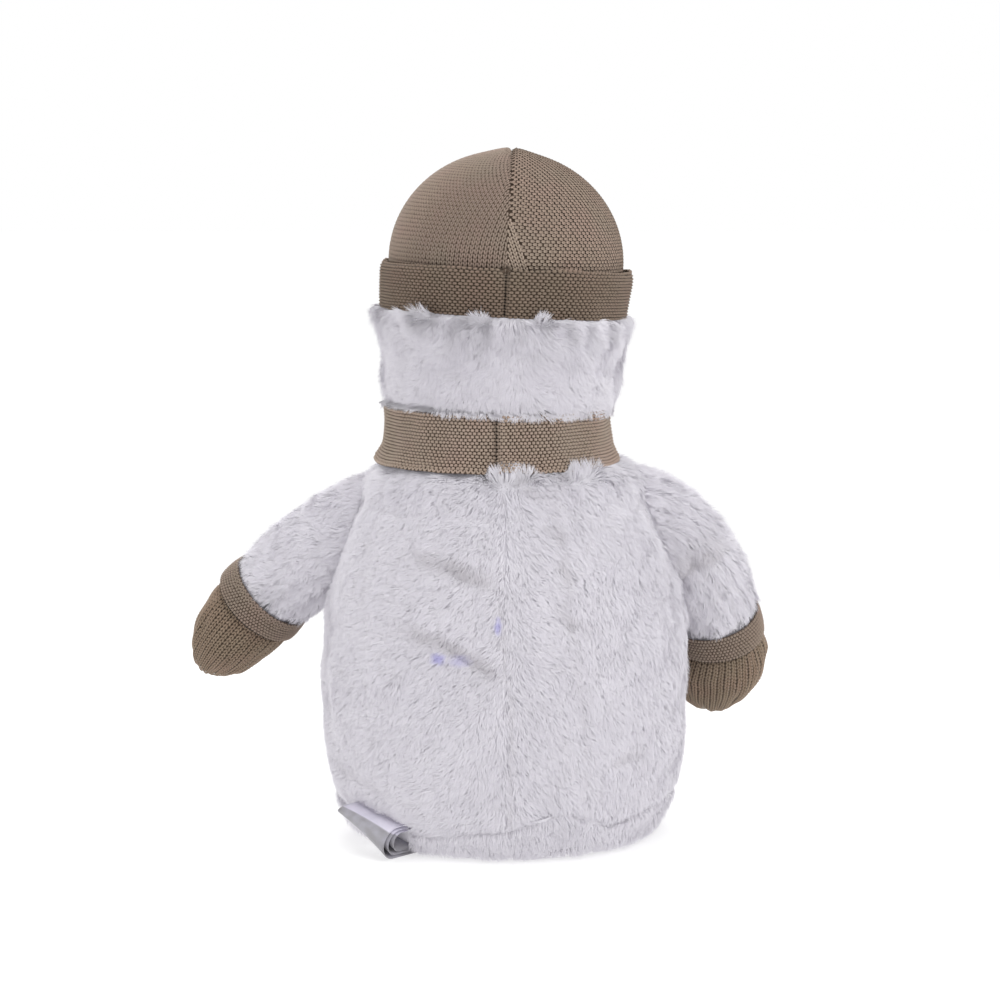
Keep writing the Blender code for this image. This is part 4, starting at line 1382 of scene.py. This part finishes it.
def make_body():
    """The body's fur panels, its base, and the flat sole under it."""
    place = turned(BODY_PROFILE, body_depth, relief=body_relief, inset=PILE_DEPTH)
    for name, turns, count, seed, clear in (
        ("body_back_left", (0.0, 0.25), 66000, 101, beside_label),
        ("body_back_right", (-0.25, 0.0), 66000, 102, outside_scarf),
        ("body_front", (0.25, 0.75), 74000, 103, clear_of_sewn),
    ):
        piece = grow_pile(
            name + "_fur", place, turns, (0.0, 0.96), count, body_lay, seed,
            keep=above_hem, clear=clear, push=crest_over_scarf, cloth=(80, 70), shade=body_painted_shade,
        )
        dress(piece, [name])

    rim = turned(BASE_RIM, body_depth, relief=ripple(0.020, 53, 0.0005), inset=BASE_PILE_DEPTH)
    heights = smooth_profile(BASE_RIM)[:, 1]
    shares = np.linspace(0, 1, len(heights))

    def under_hem(turn, share):
        return rim(turn, share * np.interp(hem_height(turn), heights, shares))

    base = grow_pile(
        "body_base_fur", under_hem, (0.0, 1.0), (0.18, 1.0), 22000, base_lay, 104,
        clear=clear_of_label, length=BASE_STRAND_LENGTH, cloth=(160, 10),
    )
    dress(base, ["body_base"])
    points, quads = sheet_of(turned(SOLE, body_depth), (0.0, 1.0), (0.0, 1.0), 72, 16)
    under = mesh_piece("body_sole", points, quads[:, ::-1], materials=[FINISH["pile"]])
    write_values(under, "pile_height", np.full(len(points), 0.6))
    dress(under, [])


def make_head():
    """The head's fur panels, with the pile pushed out from under the brim and off the neck band."""
    relief = ripple(0.022, 54, 0.0007)
    place = turned(HEAD_PROFILE, head_depth, leaning, relief, inset=HEAD_PILE_DEPTH)
    face = []
    for x in (-EYE_SPACING, EYE_SPACING):
        front = head_front_point(x, EYE_HEIGHT)
        face.append((leaning(front), unit(np.array((front[0], front[1], 0.0))), EYE_RADIUS * 0.98))
    face.append((leaning(head_front_point(0, NOSE_HEIGHT)), (0.0, 1.0, 0.0), NOSE_PROFILE[0][0] * 1.02))

    def in_front(points):
        return outside_scarf(points) & outside_spots(points, face)

    def pushed(points):
        return under_brim(over_scarf(points))

    # The whole head's pile takes a little painted shade, so that it lies darker than the body.
    def head_painted_shade(turn, root):
        return np.full(len(root), 0.12)

    for name, turns, count, seed, clear in (
        ("head_back_left", (0.0, 0.25), 22000, 111, outside_scarf),
        ("head_back_right", (-0.25, 0.0), 22000, 112, outside_scarf),
        ("head_face", (0.25, 0.75), 30000, 113, in_front),
    ):
        piece = grow_pile(
            name + "_fur", place, turns, (0.0, 1.0), count, head_lay, seed,
            clear=clear, push=pushed, length=HEAD_STRAND_LENGTH, shade=head_painted_shade,
        )
        dress(piece, [name])


def elbow_crease(turn, height):
    """1 along the crease inside the right elbow, and 0 away from it."""
    side = turn - ELBOW_TURN
    side = side - np.round(side)
    away = height - ELBOW_HEIGHT + ELBOW_SLANT * side
    return bell(away, CREASE_WIDTH) * bell(side, ELBOW_SPREAD)


def elbow_painted_shade(turn, root):
    """How much painted shade the strands at these roots take in the hollow above the right elbow's crease.
    """
    (x, height), (end_x, end_height) = ELBOW_LINE
    way = np.array((end_x - x, end_height - height))
    length = np.linalg.norm(way)
    along = ((root[:, 0] - x) * way[0] + (root[:, 2] - height) * way[1]) / length**2
    above = ((root[:, 0] - x) * way[1] - (root[:, 2] - height) * way[0]) / length
    there = ramp(along, -0.6, 0.1) * (1 - ramp(along, 0.6, 1.3)) * (root[:, 1] > -0.012)
    fading = np.exp(-np.maximum(above, 0.0) / ELBOW_SHADE_FADE)
    return ELBOW_DARKNESS * there * ramp(above, -0.0012, 0.0008) * fading


def make_sleeve(which, seed):
    """A sleeve's fur. Only the right arm bends enough to crease at its elbow."""
    uneven = ripple(0.020, seed, 0.0006)
    creased = which == "right"

    def relief(turn, height):
        return uneven(turn, height) - creased * ELBOW_DEPTH * elbow_crease(turn, height)

    place = turned(SLEEVE_PROFILE, move=arm_bend(which), relief=relief, inset=SLEEVE_PILE_DEPTH)
    # The right sleeve is painted in shade above its elbow's crease.
    piece = grow_pile(
        f"arm_{which}_sleeve_fur", place, (0.0, 1.0), (0.0, 1.0), 34000, sleeve_lay, seed,
        keep=outside_body, clear=outside_scarf, length=SLEEVE_STRAND_LENGTH, cloth=(64, 40),
        shade=elbow_painted_shade if creased else None, outward=0.0,
    )
    dress(piece, [f"arm_{which}_sleeve"])


# Knitted pieces

# The crown is drawn by a turn round from its side towards the back, and by a climb up from its spring line,
# both in radians. It starts a little under the spring line, and its stitches stop short of the very top.
QUARTER = math.pi / 2
CROWN_FOOT = -0.09
CROWN_LAST_STITCH = 1.50
CROWN_NARROWING = 0.55
FAN_WALES = 4
FAN_COURSES = 18


def crown_girth(climb):
    """The crown's half-width at that climb, and a little at its very top."""
    return CROWN_RADIUS * np.maximum(np.cos(climb), 0.02)


def fan_width(climb, wale):
    """How far from the middle seam a wale of the crown's fan lies, at that climb."""
    return 0.37 * CROWN_RADIUS * (0.48 - 0.12 * wale - climb)


def crown_dome(side, turn, climb, inset):
    """A point that lies inset under the outside of one half of the crown."""
    radius, rise = CROWN_RADIUS - inset, CROWN_RISE - inset
    x = radius * np.cos(climb) * np.cos(turn)
    y = HEAD_DEPTH * radius * np.cos(climb) * np.sin(turn)
    upwards = np.sin(np.maximum(climb, 0))
    point_up = CROWN_RIDGE * upwards * bell(x, CROWN_RIDGE_WIDTH)
    groove = CROWN_GROOVE * bell(x, CROWN_GROOVE)
    z = CROWN_SPRING + rise * np.sin(climb) + point_up - groove * upwards
    return leaning(np.stack([side * x, y, z], axis=-1))


def crown_left_yarn(dome, seed):
    """Wales that climb from the brim all round, and run out into the middle seam."""
    wales, courses = 76, 43

    def place_of(s, t):
        climb = CROWN_FOOT + t / courses * (QUARTER - CROWN_FOOT)
        return (s / wales - 0.5) * math.pi / np.maximum(np.cos(climb), 0.05) ** CROWN_NARROWING, climb

    def stitched(s, t):
        turn, climb = place_of(s, t)
        return dome(-turn, climb)

    def kept(s, t):
        turn, climb = place_of(s, t)
        return (np.abs(turn) < QUARTER - 0.0001 / crown_girth(climb)) & (climb < CROWN_LAST_STITCH)

    return [plain(stitched, wales, courses, kept, seed=seed)]


def crown_right_yarn(dome, seed):
    """Purl courses all round, and a fan of wales that run down and out from the middle seam behind."""
    wales, courses = 74, 58

    def climb_of(t):
        return CROWN_FOOT + t / courses * (QUARTER - CROWN_FOOT)

    def ringed(s, t):
        """Stitches counted from the middle seam behind, or from the one in front where s is negative."""
        climb = climb_of(t)
        turn = (QUARTER - np.abs(s) * CROWN_STITCH / crown_girth(climb)) * np.sign(s)
        return dome(turn, climb)

    def beyond_fan(s, t):
        climb = climb_of(t)
        room = QUARTER * CROWN_RADIUS * np.cos(climb) / CROWN_STITCH
        fan = np.maximum(np.where(s > 0, fan_width(climb, 0.0), 0.0), 0.0) / CROWN_STITCH
        off_seam = np.abs(s) > np.maximum(fan + 0.02, 0.32)
        return (np.abs(s) < room + 0.3) & off_seam & (climb < CROWN_LAST_STITCH)

    def fan_climb(t):
        return CROWN_FOOT + t * CROWN_FAN_COURSE / CROWN_RADIUS

    def fanned(s, t):
        climb = fan_climb(t)
        return dome(QUARTER - fan_width(climb, s) / (CROWN_RADIUS * np.cos(climb)), climb)

    def in_fan(s, t):
        return fan_width(fan_climb(t), s) > 0.0001

    rings = purl(ringed, wales, courses, beyond_fan, seed=seed, first=-wales // 2)
    return [rings, plain(fanned, FAN_WALES, FAN_COURSES, in_fan, seed=seed)]


def make_crown(side, name, seed):
    """Half of the crown: side is 1 for the toy's left, where the wales climb, and -1 for its right."""

    def stitch_dome(turn, climb):
        return crown_dome(side, turn, climb, 0.0006)

    def ground_dome(turn, climb):
        return crown_dome(side, -side * turn, climb, 0.0017)

    # The right half's stitches take the yarn painted lighter, as painted light.
    yarn_of, finish = (crown_left_yarn, "yarn") if side > 0 else (crown_right_yarn, "painted_lit_yarn")
    ground = sheet_of(ground_dome, (-QUARTER, QUARTER), (CROWN_FOOT, QUARTER), 72, 40)
    piece = knit_piece(name + "_knit", ground, *yarn_of(stitch_dome, seed), finish=finish)
    dress(piece, [name])


def band_place(profile, columns, rows, depth, move, inset, relief=None):
    """A turned band mapped in stitches, from the back seam round."""
    surface = turned(profile, depth, move, relief, inset, whole=True)

    def place(s, t):
        return surface(s / columns, t / rows)

    return place


# About the half-width of the brim and the scarf, and the small hole where a band's ends meet.
BAND_GIRTH = 0.05
HOLE_DEPTH = 0.0016
HOLE_HEIGHT = 0.0020
# How far a cloth band lies under its stitches, and how far the stitches stand out.
BRIM_CLOTH_INSET = 0.0005
BRIM_STITCH_INSET = -0.0002
SCARF_CLOTH_INSET = 0.0003
SCARF_STITCH_INSET = -0.0004
SCARF_HEM_INSET = -0.0002
CUFF_STITCH_INSET = -0.0002
CUFF_LOOP_INSET = -0.0003


def seamed(width, depth, size, seed, amount, hole, overlap=0.0):
    """The relief of a band whose ends meet behind, in a slit of that width and depth with a hole at its top.

    Soft unevenness of that size and amount goes all round, and the end on the toy's right stands over the
    other one by the overlap. hole is the height of the hole.
    """
    uneven = ripple(size, seed, amount)

    def lift(turn, height):
        away = (turn - np.round(turn)) * FULL_TURN * BAND_GIRTH
        slit = depth * bell(away, width)
        opening = HOLE_DEPTH * bell(away, 1.8 * width) * bell(height - hole, HOLE_HEIGHT)
        over = np.where(away < 0, bell(away + 0.002, 0.004), -bell(away, 0.003))
        return uneven(turn, height) - slit - opening + overlap * over

    return lift


def finer_at_seam(surface):
    """The same surface with its turns drawn together towards the seam behind."""

    def place(turn, share):
        return surface(turn - 0.88 * np.sin(FULL_TURN * turn) / FULL_TURN, share)

    return place


def tilted(points):
    """Tips the brim up at the back, and leans it with the head."""
    x, y, z = points[..., 0], points[..., 1], points[..., 2]
    return leaning(np.stack([x, y, z + BRIM_TILT * y], axis=-1))


def make_brim():
    """The hat's edge, folded up on itself, with its two ends sewn together behind."""
    relief = seamed(0.0010, 0.0023, 0.030, 61, 0.0004, hole=0.0806, overlap=0.0003)
    surface = turned(BRIM_FOLDED[::-1], head_depth, tilted, relief, BRIM_CLOTH_INSET, whole=True)
    points, quads = sheet_of(finer_at_seam(surface), (0.0, 1.0), (0.0, 1.0), 193, 26)
    cloth = mesh_piece("hat_brim_cloth", points, quads, materials=[FINISH["ground"]])
    outer = BRIM_FOLDED[:2:-1]
    columns, rows = 142, 17
    place = band_place(outer, columns, rows, head_depth, tilted, BRIM_STITCH_INSET, relief)
    bumps = purl(place, columns, rows, off_seam(columns), seed=7)
    # The brim's stitches take the yarn painted darker, as painted shade.
    yarn = yarn_piece("hat_brim_stitches", bumps, purl_ends(place, columns, rows), finish="painted_shade_yarn")
    dress(yarn, [])
    dress(cloth, ["hat_brim"])


def off_seam(columns, first_row=0.0):
    """Keeps the stitches that are whole on one side of a band's seam, and above its first rows."""

    def kept(s, t):
        return (s > 0.2) & (s < columns - 0.2) & (t > first_row)

    return kept


def make_scarf():
    """The neck band, folded double, with a row of plain stitches along its lower edge."""
    relief = seamed(0.0013, 0.0022, 0.024, 62, 0.0006, hole=0.1876, overlap=0.0009)
    profile = SCARF_OUTER + SCARF_INNER
    surface = turned(profile, head_depth, round_neck, relief, SCARF_CLOTH_INSET, whole=True)
    points, quads = sheet_of(finer_at_seam(surface), (0.0, 1.0), (0.0, 1.0), 193, 40)
    cloth = mesh_piece("scarf_band_cloth", points, quads, materials=[FINISH["ground"]])
    columns, rows = 166, 18
    place = band_place(SCARF_OUTER, columns, rows, head_depth, round_neck, SCARF_STITCH_INSET, relief)
    bumps = purl(place, columns, rows, off_seam(columns, 1.2), seed=8)
    hem_columns = 150
    hem_place = band_place(SCARF_OUTER, hem_columns, 16, head_depth, round_neck, SCARF_HEM_INSET, relief)
    hem = plain(hem_place, hem_columns, 1, seed=81, lean=LOOSE_LEAN)
    ends = purl_ends(place, columns, rows, first_row=2)
    # The scarf's stitches take the yarn painted lighter, as painted light.
    yarn = yarn_piece("scarf_band_stitches", bumps, ends, hem, finish="painted_lit_yarn")
    dress(yarn, [])
    dress(cloth, ["scarf_band"])


def knot_surface(turn, climb, grow=0.0):
    """A point on the knot, by the turn from its front and the climb from its middle, in radians."""
    square = 0.78
    around, up = np.sin(turn), np.sin(climb)
    ring = np.abs(np.cos(climb)) ** square
    x = np.sign(around) * np.abs(around) ** square * ring
    y = np.sign(np.cos(turn)) * np.abs(np.cos(turn)) ** square * ring
    z = np.sign(up) * np.abs(up) ** square
    waist = 1.10 + 0.10 * np.sin(4.5 * x + 1.8 * z) * (1 - np.abs(z))
    half = np.array(KNOT_SIZE) / 2 + grow
    taller_ends = 0.90 + 0.10 * x * x
    return np.stack([x * half[0], -y * half[1] * waist, z * half[2] * taller_ends], axis=-1) + KNOT_CENTRE


def make_knot():
    """The wrapped knot in front that gathers the two tails."""
    around, high = 48, 28
    turns = np.linspace(0, FULL_TURN, around, endpoint=False)
    turn, climb = np.meshgrid(turns, np.linspace(-1.5, 1.5, high))
    points = knot_surface(turn.ravel(), climb.ravel(), -0.0006)
    quads = grid_faces(around, high, closed=True)
    knot = mesh_piece("scarf_knot_cloth", points, quads, materials=[FINISH["ground"]])
    columns, rows = 26, 18

    def place(s, t):
        return knot_surface((s / columns - 0.5) * 2.9, (t / rows - 0.5) * 2.5, -0.0002)

    # The knot's stitches take the yarn painted lighter, as painted light.
    yarn = yarn_piece("scarf_knot_stitches", purl(place, columns, rows, seed=9), finish="painted_lit_yarn")
    dress(yarn, [])
    dress(knot, ["scarf_knot"])


def thicken(sheet, thickness):
    """Gives a sheet two faces, to both sides of where it lies."""
    wall = sheet.modifiers.new("thickness", "SOLIDIFY")
    wall.thickness = thickness
    wall.offset = 0.0


def make_tail(which):
    """A flat tail of the scarf that hangs from the knot over the body, with a fringe."""
    end = TAIL_ENDS[which]
    columns, rows = 9, 40

    def place(s, t, lift):
        share = t / rows
        height = TAIL_TOP + (end - TAIL_TOP) * share
        x = tail_middle(which, share) - (s / columns - 0.5) * tail_width(share)
        y = -body_front_depth(x, height)
        wave = 0.0008 * np.sin(share * 7 + s * 0.5)
        return np.stack([x, y - lift - wave, height], axis=-1)

    def cloth_place(s, t):
        return place(s, t, 0.0018)

    def stitch_place(s, t):
        """The same place with the stitches counted from the far corner, so that their ridges face out."""
        return place(columns - s, rows - t, 0.0030)

    points, quads = sheet_of(cloth_place, (0, columns), (0, rows), 14, 30)
    cloth = mesh_piece(f"scarf_tail_{which}_cloth", points, quads[:, ::-1], materials=[FINISH["ground"]])
    thicken(cloth, TAIL_THICKNESS)
    fringe_count = 14
    s = np.linspace(0.3, columns - 0.3, fringe_count)
    fringe = fringe_strands(place(s, np.full(fringe_count, rows - 0.2), 0.0026))
    bumps = purl(stitch_place, columns, rows, seed=10)
    # The tail's stitches take the yarn painted lighter, as painted light.
    yarn = yarn_piece(f"scarf_tail_{which}_stitches", bumps, finish="painted_lit_yarn", ends=fringe)
    dress(yarn, [])
    dress(cloth, [f"scarf_tail_{which}"])


def fringe_strands(start):
    """Short yarn ends that hang from the starting points along the bottom of a tail."""
    rng = np.random.default_rng(5)
    count = len(start)
    drop = np.array((0.0, -0.0004, -1.0)) * FRINGE_LENGTH * rng.uniform(0.8, 1.1, (count, 1))
    drop[:, 0] += rng.normal(0, 0.0006, count)
    turns = np.arange(5) / 5 * FULL_TURN
    rings = []
    for share, radius in ((0.0, 0.0006), (0.35, 0.0008), (0.8, 0.0007), (1.0, 0.0004)):
        ring = np.stack([np.cos(turns), np.sin(turns), 0 * turns], axis=1) * radius
        rings.append(start[:, None] + drop[:, None] * share + ring[None])
    points = np.stack(rings, axis=1)
    quads = grid_faces(5, 4, closed=True)
    caps = np.array([[0, 1, 2], [0, 2, 3], [0, 3, 4], [15, 17, 16], [15, 18, 17], [15, 19, 18]])
    first = np.arange(count)[:, None, None] * 20
    return points.reshape(-1, 3), (first + quads).reshape(-1, 4), (first + caps).reshape(-1, 3)


def make_mitten(which, seed):
    """A knitted mitten whose wales run down to the fingertips."""
    columns, rows = 46, 34
    bend = arm_bend(which)
    relief = ripple(0.016, seed, 0.0004)
    place = band_place(MITTEN_PROFILE, columns, rows, round_depth, bend, 0.0005, relief)

    def kept(s, t):
        return (t > 0.5) & (t < rows - 0.3)

    yarn = plain(place, columns, rows, kept, seed=seed)
    surface = turned(MITTEN_PROFILE, round_depth, bend, relief, inset=0.0010)
    ground = sheet_of(surface, (0.0, 1.0), (0.0, 1.0), 49, 40)
    # The mittens take the yarn painted darker, as painted shade.
    piece = knit_piece(f"mitten_{which}_knit", ground, yarn, finish="mitten_painted_shade_yarn")
    dress(piece, [f"mitten_{which}"])


def make_cuff(which, seed):
    """A knitted band folded double. The left one has two rows of open loops towards the fur."""
    bend = arm_bend(which)
    surface = turned(CUFF_FOLDED, move=bend)
    points, quads = sheet_of(surface, (0.0, 1.0), (0.0, 1.0), 65, 22)
    cloth = mesh_piece(f"cuff_{which}_cloth", points, quads, materials=[FINISH["ground"]])
    outer = CUFF_FOLDED[1:6]
    columns, rows, loose_columns = 84, 9, 60
    loose_rows = 2 if which == "left" else 0

    def kept(s, t):
        return t > loose_rows

    place = band_place(outer, columns, rows, round_depth, bend, CUFF_STITCH_INSET)
    bumps = purl(place, columns, rows, kept, seed=seed)
    loose_place = band_place(outer, loose_columns, rows, round_depth, bend, CUFF_LOOP_INSET)
    loops = plain(loose_place, loose_columns, loose_rows, seed=seed, lean=LOOSE_LEAN)
    yarn = yarn_piece(f"cuff_{which}_stitches", bumps, loops)
    dress(yarn, [])
    dress(cloth, [f"cuff_{which}"])


# Hard pieces and label

def lathe(name, profile, place, finish, segments=48, wave=None):
    """A turned solid from a profile of (radius, height) points, closed at both ends and put in place."""
    curve = smooth_profile(profile, 40)
    angle = np.linspace(0, FULL_TURN, segments, endpoint=False)
    radius, height = (np.repeat(curve[:, axis : axis + 1], segments, axis=1) for axis in (0, 1))
    if wave is not None:
        radius = radius * (1 + wave(angle, height))
    ring = np.stack([radius * np.cos(angle), radius * np.sin(angle), height], axis=-1).reshape(-1, 3)
    quads = grid_faces(segments, len(curve), closed=True)[:, ::-1]
    piece = mesh_piece(name, ring, quads, materials=[finish])
    shape = bmesh.new()
    shape.from_mesh(piece.data)
    bmesh.ops.holes_fill(shape, edges=[e for e in shape.edges if e.is_boundary])
    shape.to_mesh(piece.data)
    shape.free()
    piece.data.transform(place)
    return piece


def on_head(point, aim):
    """The matrix that puts a piece at a point given in the head's own axes, turned by aim."""
    lean = Matrix.Translation(Vector(NECK_PIVOT)) @ Matrix.Rotation(-HEAD_LEAN, 4, "Y")
    return lean @ (Matrix.Translation(Vector(point)) @ aim)


def nose_wrinkles(angle, height):
    """How much the felt swells at that place on the nose, as a share of its radius."""
    return 0.03 * np.sin(height * 900 + 2 * np.sin(angle)) + 0.02 * np.cos(angle * 3)


def make_face():
    """Two domed eyes, and a carrot nose of felt."""
    upright_to_front = Matrix.Rotation(math.pi / 2, 4, "X")
    for x, name in ((EYE_SPACING, "eye_left"), (-EYE_SPACING, "eye_right")):
        front = head_front_point(x, EYE_HEIGHT)
        arc = [(EYE_RADIUS * math.cos(a), EYE_DEPTH * math.sin(a)) for a in np.linspace(-1.3, 1.56, 14)]
        aim = Matrix.Rotation(math.atan2(front[0], -front[1]), 4, "Z") @ upright_to_front
        eye = lathe(name + "_bead", arc, on_head(front, aim), FINISH["eye"])
        dress(eye, [name])
    place = on_head(head_front_point(0.0, NOSE_HEIGHT), Matrix.Rotation(math.pi / 2 + NOSE_DROOP, 4, "X"))
    nose = lathe("nose_carrot", NOSE_PROFILE, place, FINISH["felt"], wave=nose_wrinkles)
    dress(nose, ["nose"])


def make_buttons():
    """Two dished buttons that follow the slope of the belly."""
    top = BUTTON_THICKNESS - BUTTON_EMBEDDED
    dish = top - BUTTON_DISH
    outline = [
        (0.80, -0.0020),
        (0.96, -0.0016),
        (1.00, top - 0.0012),
        (0.95, top - 0.0002),
        (0.84, top),
        (0.74, top - 0.0005),
        (0.66, top - 0.0011),
        (0.30, dish),
        (0.02, dish),
    ]
    profile = [(BUTTON_RADIUS * share, height) for share, height in outline]
    for name, height in BUTTON_HEIGHTS.items():
        low = body_front_point(0, height - BUTTON_RADIUS / 2)
        high = body_front_point(0, height + BUTTON_RADIUS / 2)
        slope = math.atan2(high[1] - low[1], BUTTON_RADIUS)
        aim = Matrix.Rotation(math.pi / 2 - slope, 4, "X")
        place = Matrix.Translation(Vector(body_front_point(0, height))) @ aim
        button = lathe(name + "_disc", profile, place, FINISH["button"])
        threads = button_threads(name, place, dish)
        dress(button, [name])
        dress(threads, [])


def button_threads(name, place, face):
    """The two crossed threads that sew a button on."""
    shape = bmesh.new()
    radius = BUTTON_THREAD_RADIUS
    lift = Matrix.Translation((0, 0, face + 0.0003))
    for turn in (math.pi / 4, -math.pi / 4):
        made = bmesh.ops.create_cone(
            shape, cap_ends=True, segments=10, radius1=radius, radius2=radius, depth=BUTTON_THREAD_LENGTH)
        lay = Matrix.Rotation(turn, 4, "Z") @ Matrix.Rotation(math.pi / 2, 4, "X")
        bmesh.ops.transform(shape, verts=made["verts"], matrix=lift @ lay)
    mesh = bpy.data.meshes.new(name + "_thread")
    shape.to_mesh(mesh)
    shape.free()
    mesh.transform(place)
    mesh.materials.append(FINISH["thread"])
    mesh.shade_smooth()
    return put_in_scene(name + "_thread", mesh)


def loop_line(reach, radius):
    """A loop seen from its side, as (distance from the seam, height, 1 where it is painted in shadow)."""
    straight = reach - radius
    line = [(along, 2 * radius, 0.0) for along in np.linspace(0.0, straight, 8, endpoint=False)]
    for turn in np.linspace(math.pi / 2, -math.pi / 2, 29):
        along, height = straight + radius * math.cos(turn), radius + radius * math.sin(turn)
        line.append((along, height, turn < LABEL_PAINTED_SHADOW_FROM))
    line += [(along, 0.0, 1.0) for along in np.linspace(straight, 0.0, 9)[1:]]
    return line


def make_label(name, reach, radius):
    """A satin loop sewn into the base seam, open at one end and flatter towards the other."""
    columns = 12
    line = loop_line(reach, radius)
    gap = LABEL_TOP / 2 - radius
    points = []
    for along, height, _ in line:
        for across in np.linspace(0.0, 1.0, columns):
            below_top = (LABEL_TOP - height - gap) * (1 - LABEL_FLATTENED * across)
            curl = LABEL_CURL * math.sin(across * math.pi) * (along / reach)
            up = LABEL_UP_WAY * (LABEL_TOP - below_top + curl)
            points.append(LABEL_ROOT + LABEL_NOSE_WAY * along + up + LABEL_WIDTH_WAY * LABEL_WIDTH * across)
    quads = grid_faces(columns, len(line))
    label = mesh_piece(name + "_ribbon", np.array(points), quads, materials=[FINISH["satin"]])
    # Painted shadow: the rounded end's lower part and the strip under it are marked for it.
    write_values(label, "ribbon_painted_shadow", np.repeat([float(dull) for _, _, dull in line], columns))
    thicken(label, LABEL_THICKNESS)
    dress(label, [name])


def finish_stuffing():
    """Gives the stuffing solids, which are shown as they are, the look of wadding."""
    for name in ("head_stuffing", "body_stuffing", "arm_left_stuffing", "arm_right_stuffing"):
        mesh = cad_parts[name].data
        mesh.materials.clear()
        mesh.materials.append(FINISH["wadding"])


# Studio

CAMERA_PLACE = Vector((0.00215, 1.3, 0.32))
CAMERA_AIM = Vector((0.00215, 0.0, 0.147))
CAMERA_LENS = 108.8
SENSOR = 36.0
# Each light's place, what it is aimed at, its width and its power in watts.
LIGHTS = {
    "key": ((-0.5, 1.2, 1.3), (0, 0, 0.13), 1.2, 12.4),
    "front_key": ((0.5, -1.2, 1.3), (0, 0, 0.13), 1.2, 13.8),
    "top": ((0.0, 0.0, 1.8), (0, 0, 0.15), 1.4, 9.4),
    "left_fill": ((1.4, 0.3, 0.6), (0, 0, 0.13), 1.2, 5.4),
    "right_fill": ((-1.4, 0.3, 0.6), (0, 0, 0.13), 1.2, 5.0),
}
FLOOR_SIZE = 12.0
WHITE = (1.0, 1.0, 1.0)
PAPER = (0.56, 0.56, 0.56)
PAPER_GRAIN = (0.57, 0.57, 0.57)
# How far the paper is lit like the toy, and where it is pure white, in metres from the toy.
PAPER_LIT = 0.35
PAPER_WHITE = 0.80
SKY_STRENGTH = 0.42


def aim_at(holder, place, aim):
    """Puts a camera or a light at a place and points it at another."""
    place, aim = Vector(place), Vector(aim)
    holder.location = place
    holder.rotation_euler = (aim - place).to_track_quat("-Z", "Y").to_euler()


def make_camera():
    """The camera, where the photograph was taken from."""
    camera = bpy.data.cameras.new("camera")
    camera.lens = CAMERA_LENS
    camera.sensor_width = SENSOR
    camera.clip_start = 0.01
    holder = put_in_scene("camera", camera)
    aim_at(holder, CAMERA_PLACE, CAMERA_AIM)
    bpy.context.scene.camera = holder


def make_floor():
    """White paper that glows where the lights no longer reach, so that it has no edge."""
    bpy.ops.mesh.primitive_plane_add(size=FLOOR_SIZE)
    floor = bpy.context.object
    floor.name = "studio_floor"
    material, tree, shader = new_finish("studio_paper", 0.9, Emission_Strength=1.0, Specular_IOR_Level=0.1)
    far = remap(tree, distance_from_origin(tree, object_place(tree)), PAPER_LIT, PAPER_WHITE)
    grain = mix_colours(tree, noise(tree, 30.0, 2.0), PAPER, PAPER_GRAIN)
    tree.links.new(mix_colours(tree, far, grain, BLACK), shader.inputs["Base Color"])
    tree.links.new(mix_colours(tree, far, PAPER, WHITE), shader.inputs["Emission Color"])
    floor.data.materials.append(material)


def make_light(name, place, aim, width, power):
    """A soft round light."""
    light = bpy.data.lights.new(name, "AREA")
    light.shape = "DISK"
    light.size = width
    light.energy = power
    aim_at(put_in_scene(name, light), place, aim)


def make_studio():
    """The camera, the paper, the lights, and a world that looks pure white."""
    make_camera()
    make_floor()
    for name, settings in LIGHTS.items():
        make_light(name, *settings)
    world = bpy.data.worlds.new("studio")
    world.use_nodes = True
    sky = world.node_tree.nodes["Background"]
    sky.inputs["Color"].default_value = (*WHITE, 1.0)
    seen = world.node_tree.nodes.new("ShaderNodeLightPath").outputs["Is Camera Ray"]
    strength = remap(world.node_tree, seen, 0.0, 1.0, SKY_STRENGTH, 1.0)
    world.node_tree.links.new(strength, sky.inputs["Strength"])
    bpy.context.scene.world = world
    bpy.context.scene.view_settings.view_transform = "Standard"
    bpy.context.scene.view_settings.look = "None"


make_studio()
finish_stuffing()
make_body()
make_head()
make_sleeve("left", 121)
make_sleeve("right", 122)
make_crown(1, "hat_crown_left", 131)
make_crown(-1, "hat_crown_right", 132)
make_brim()
make_scarf()
make_knot()
for hand in ("left", "right"):
    make_tail(hand)
    make_mitten(hand, 141)
    make_cuff(hand, 142)
make_face()
make_buttons()
for loop, (loop_reach, loop_radius) in LABEL_LOOPS.items():
    make_label(loop, loop_reach, loop_radius)
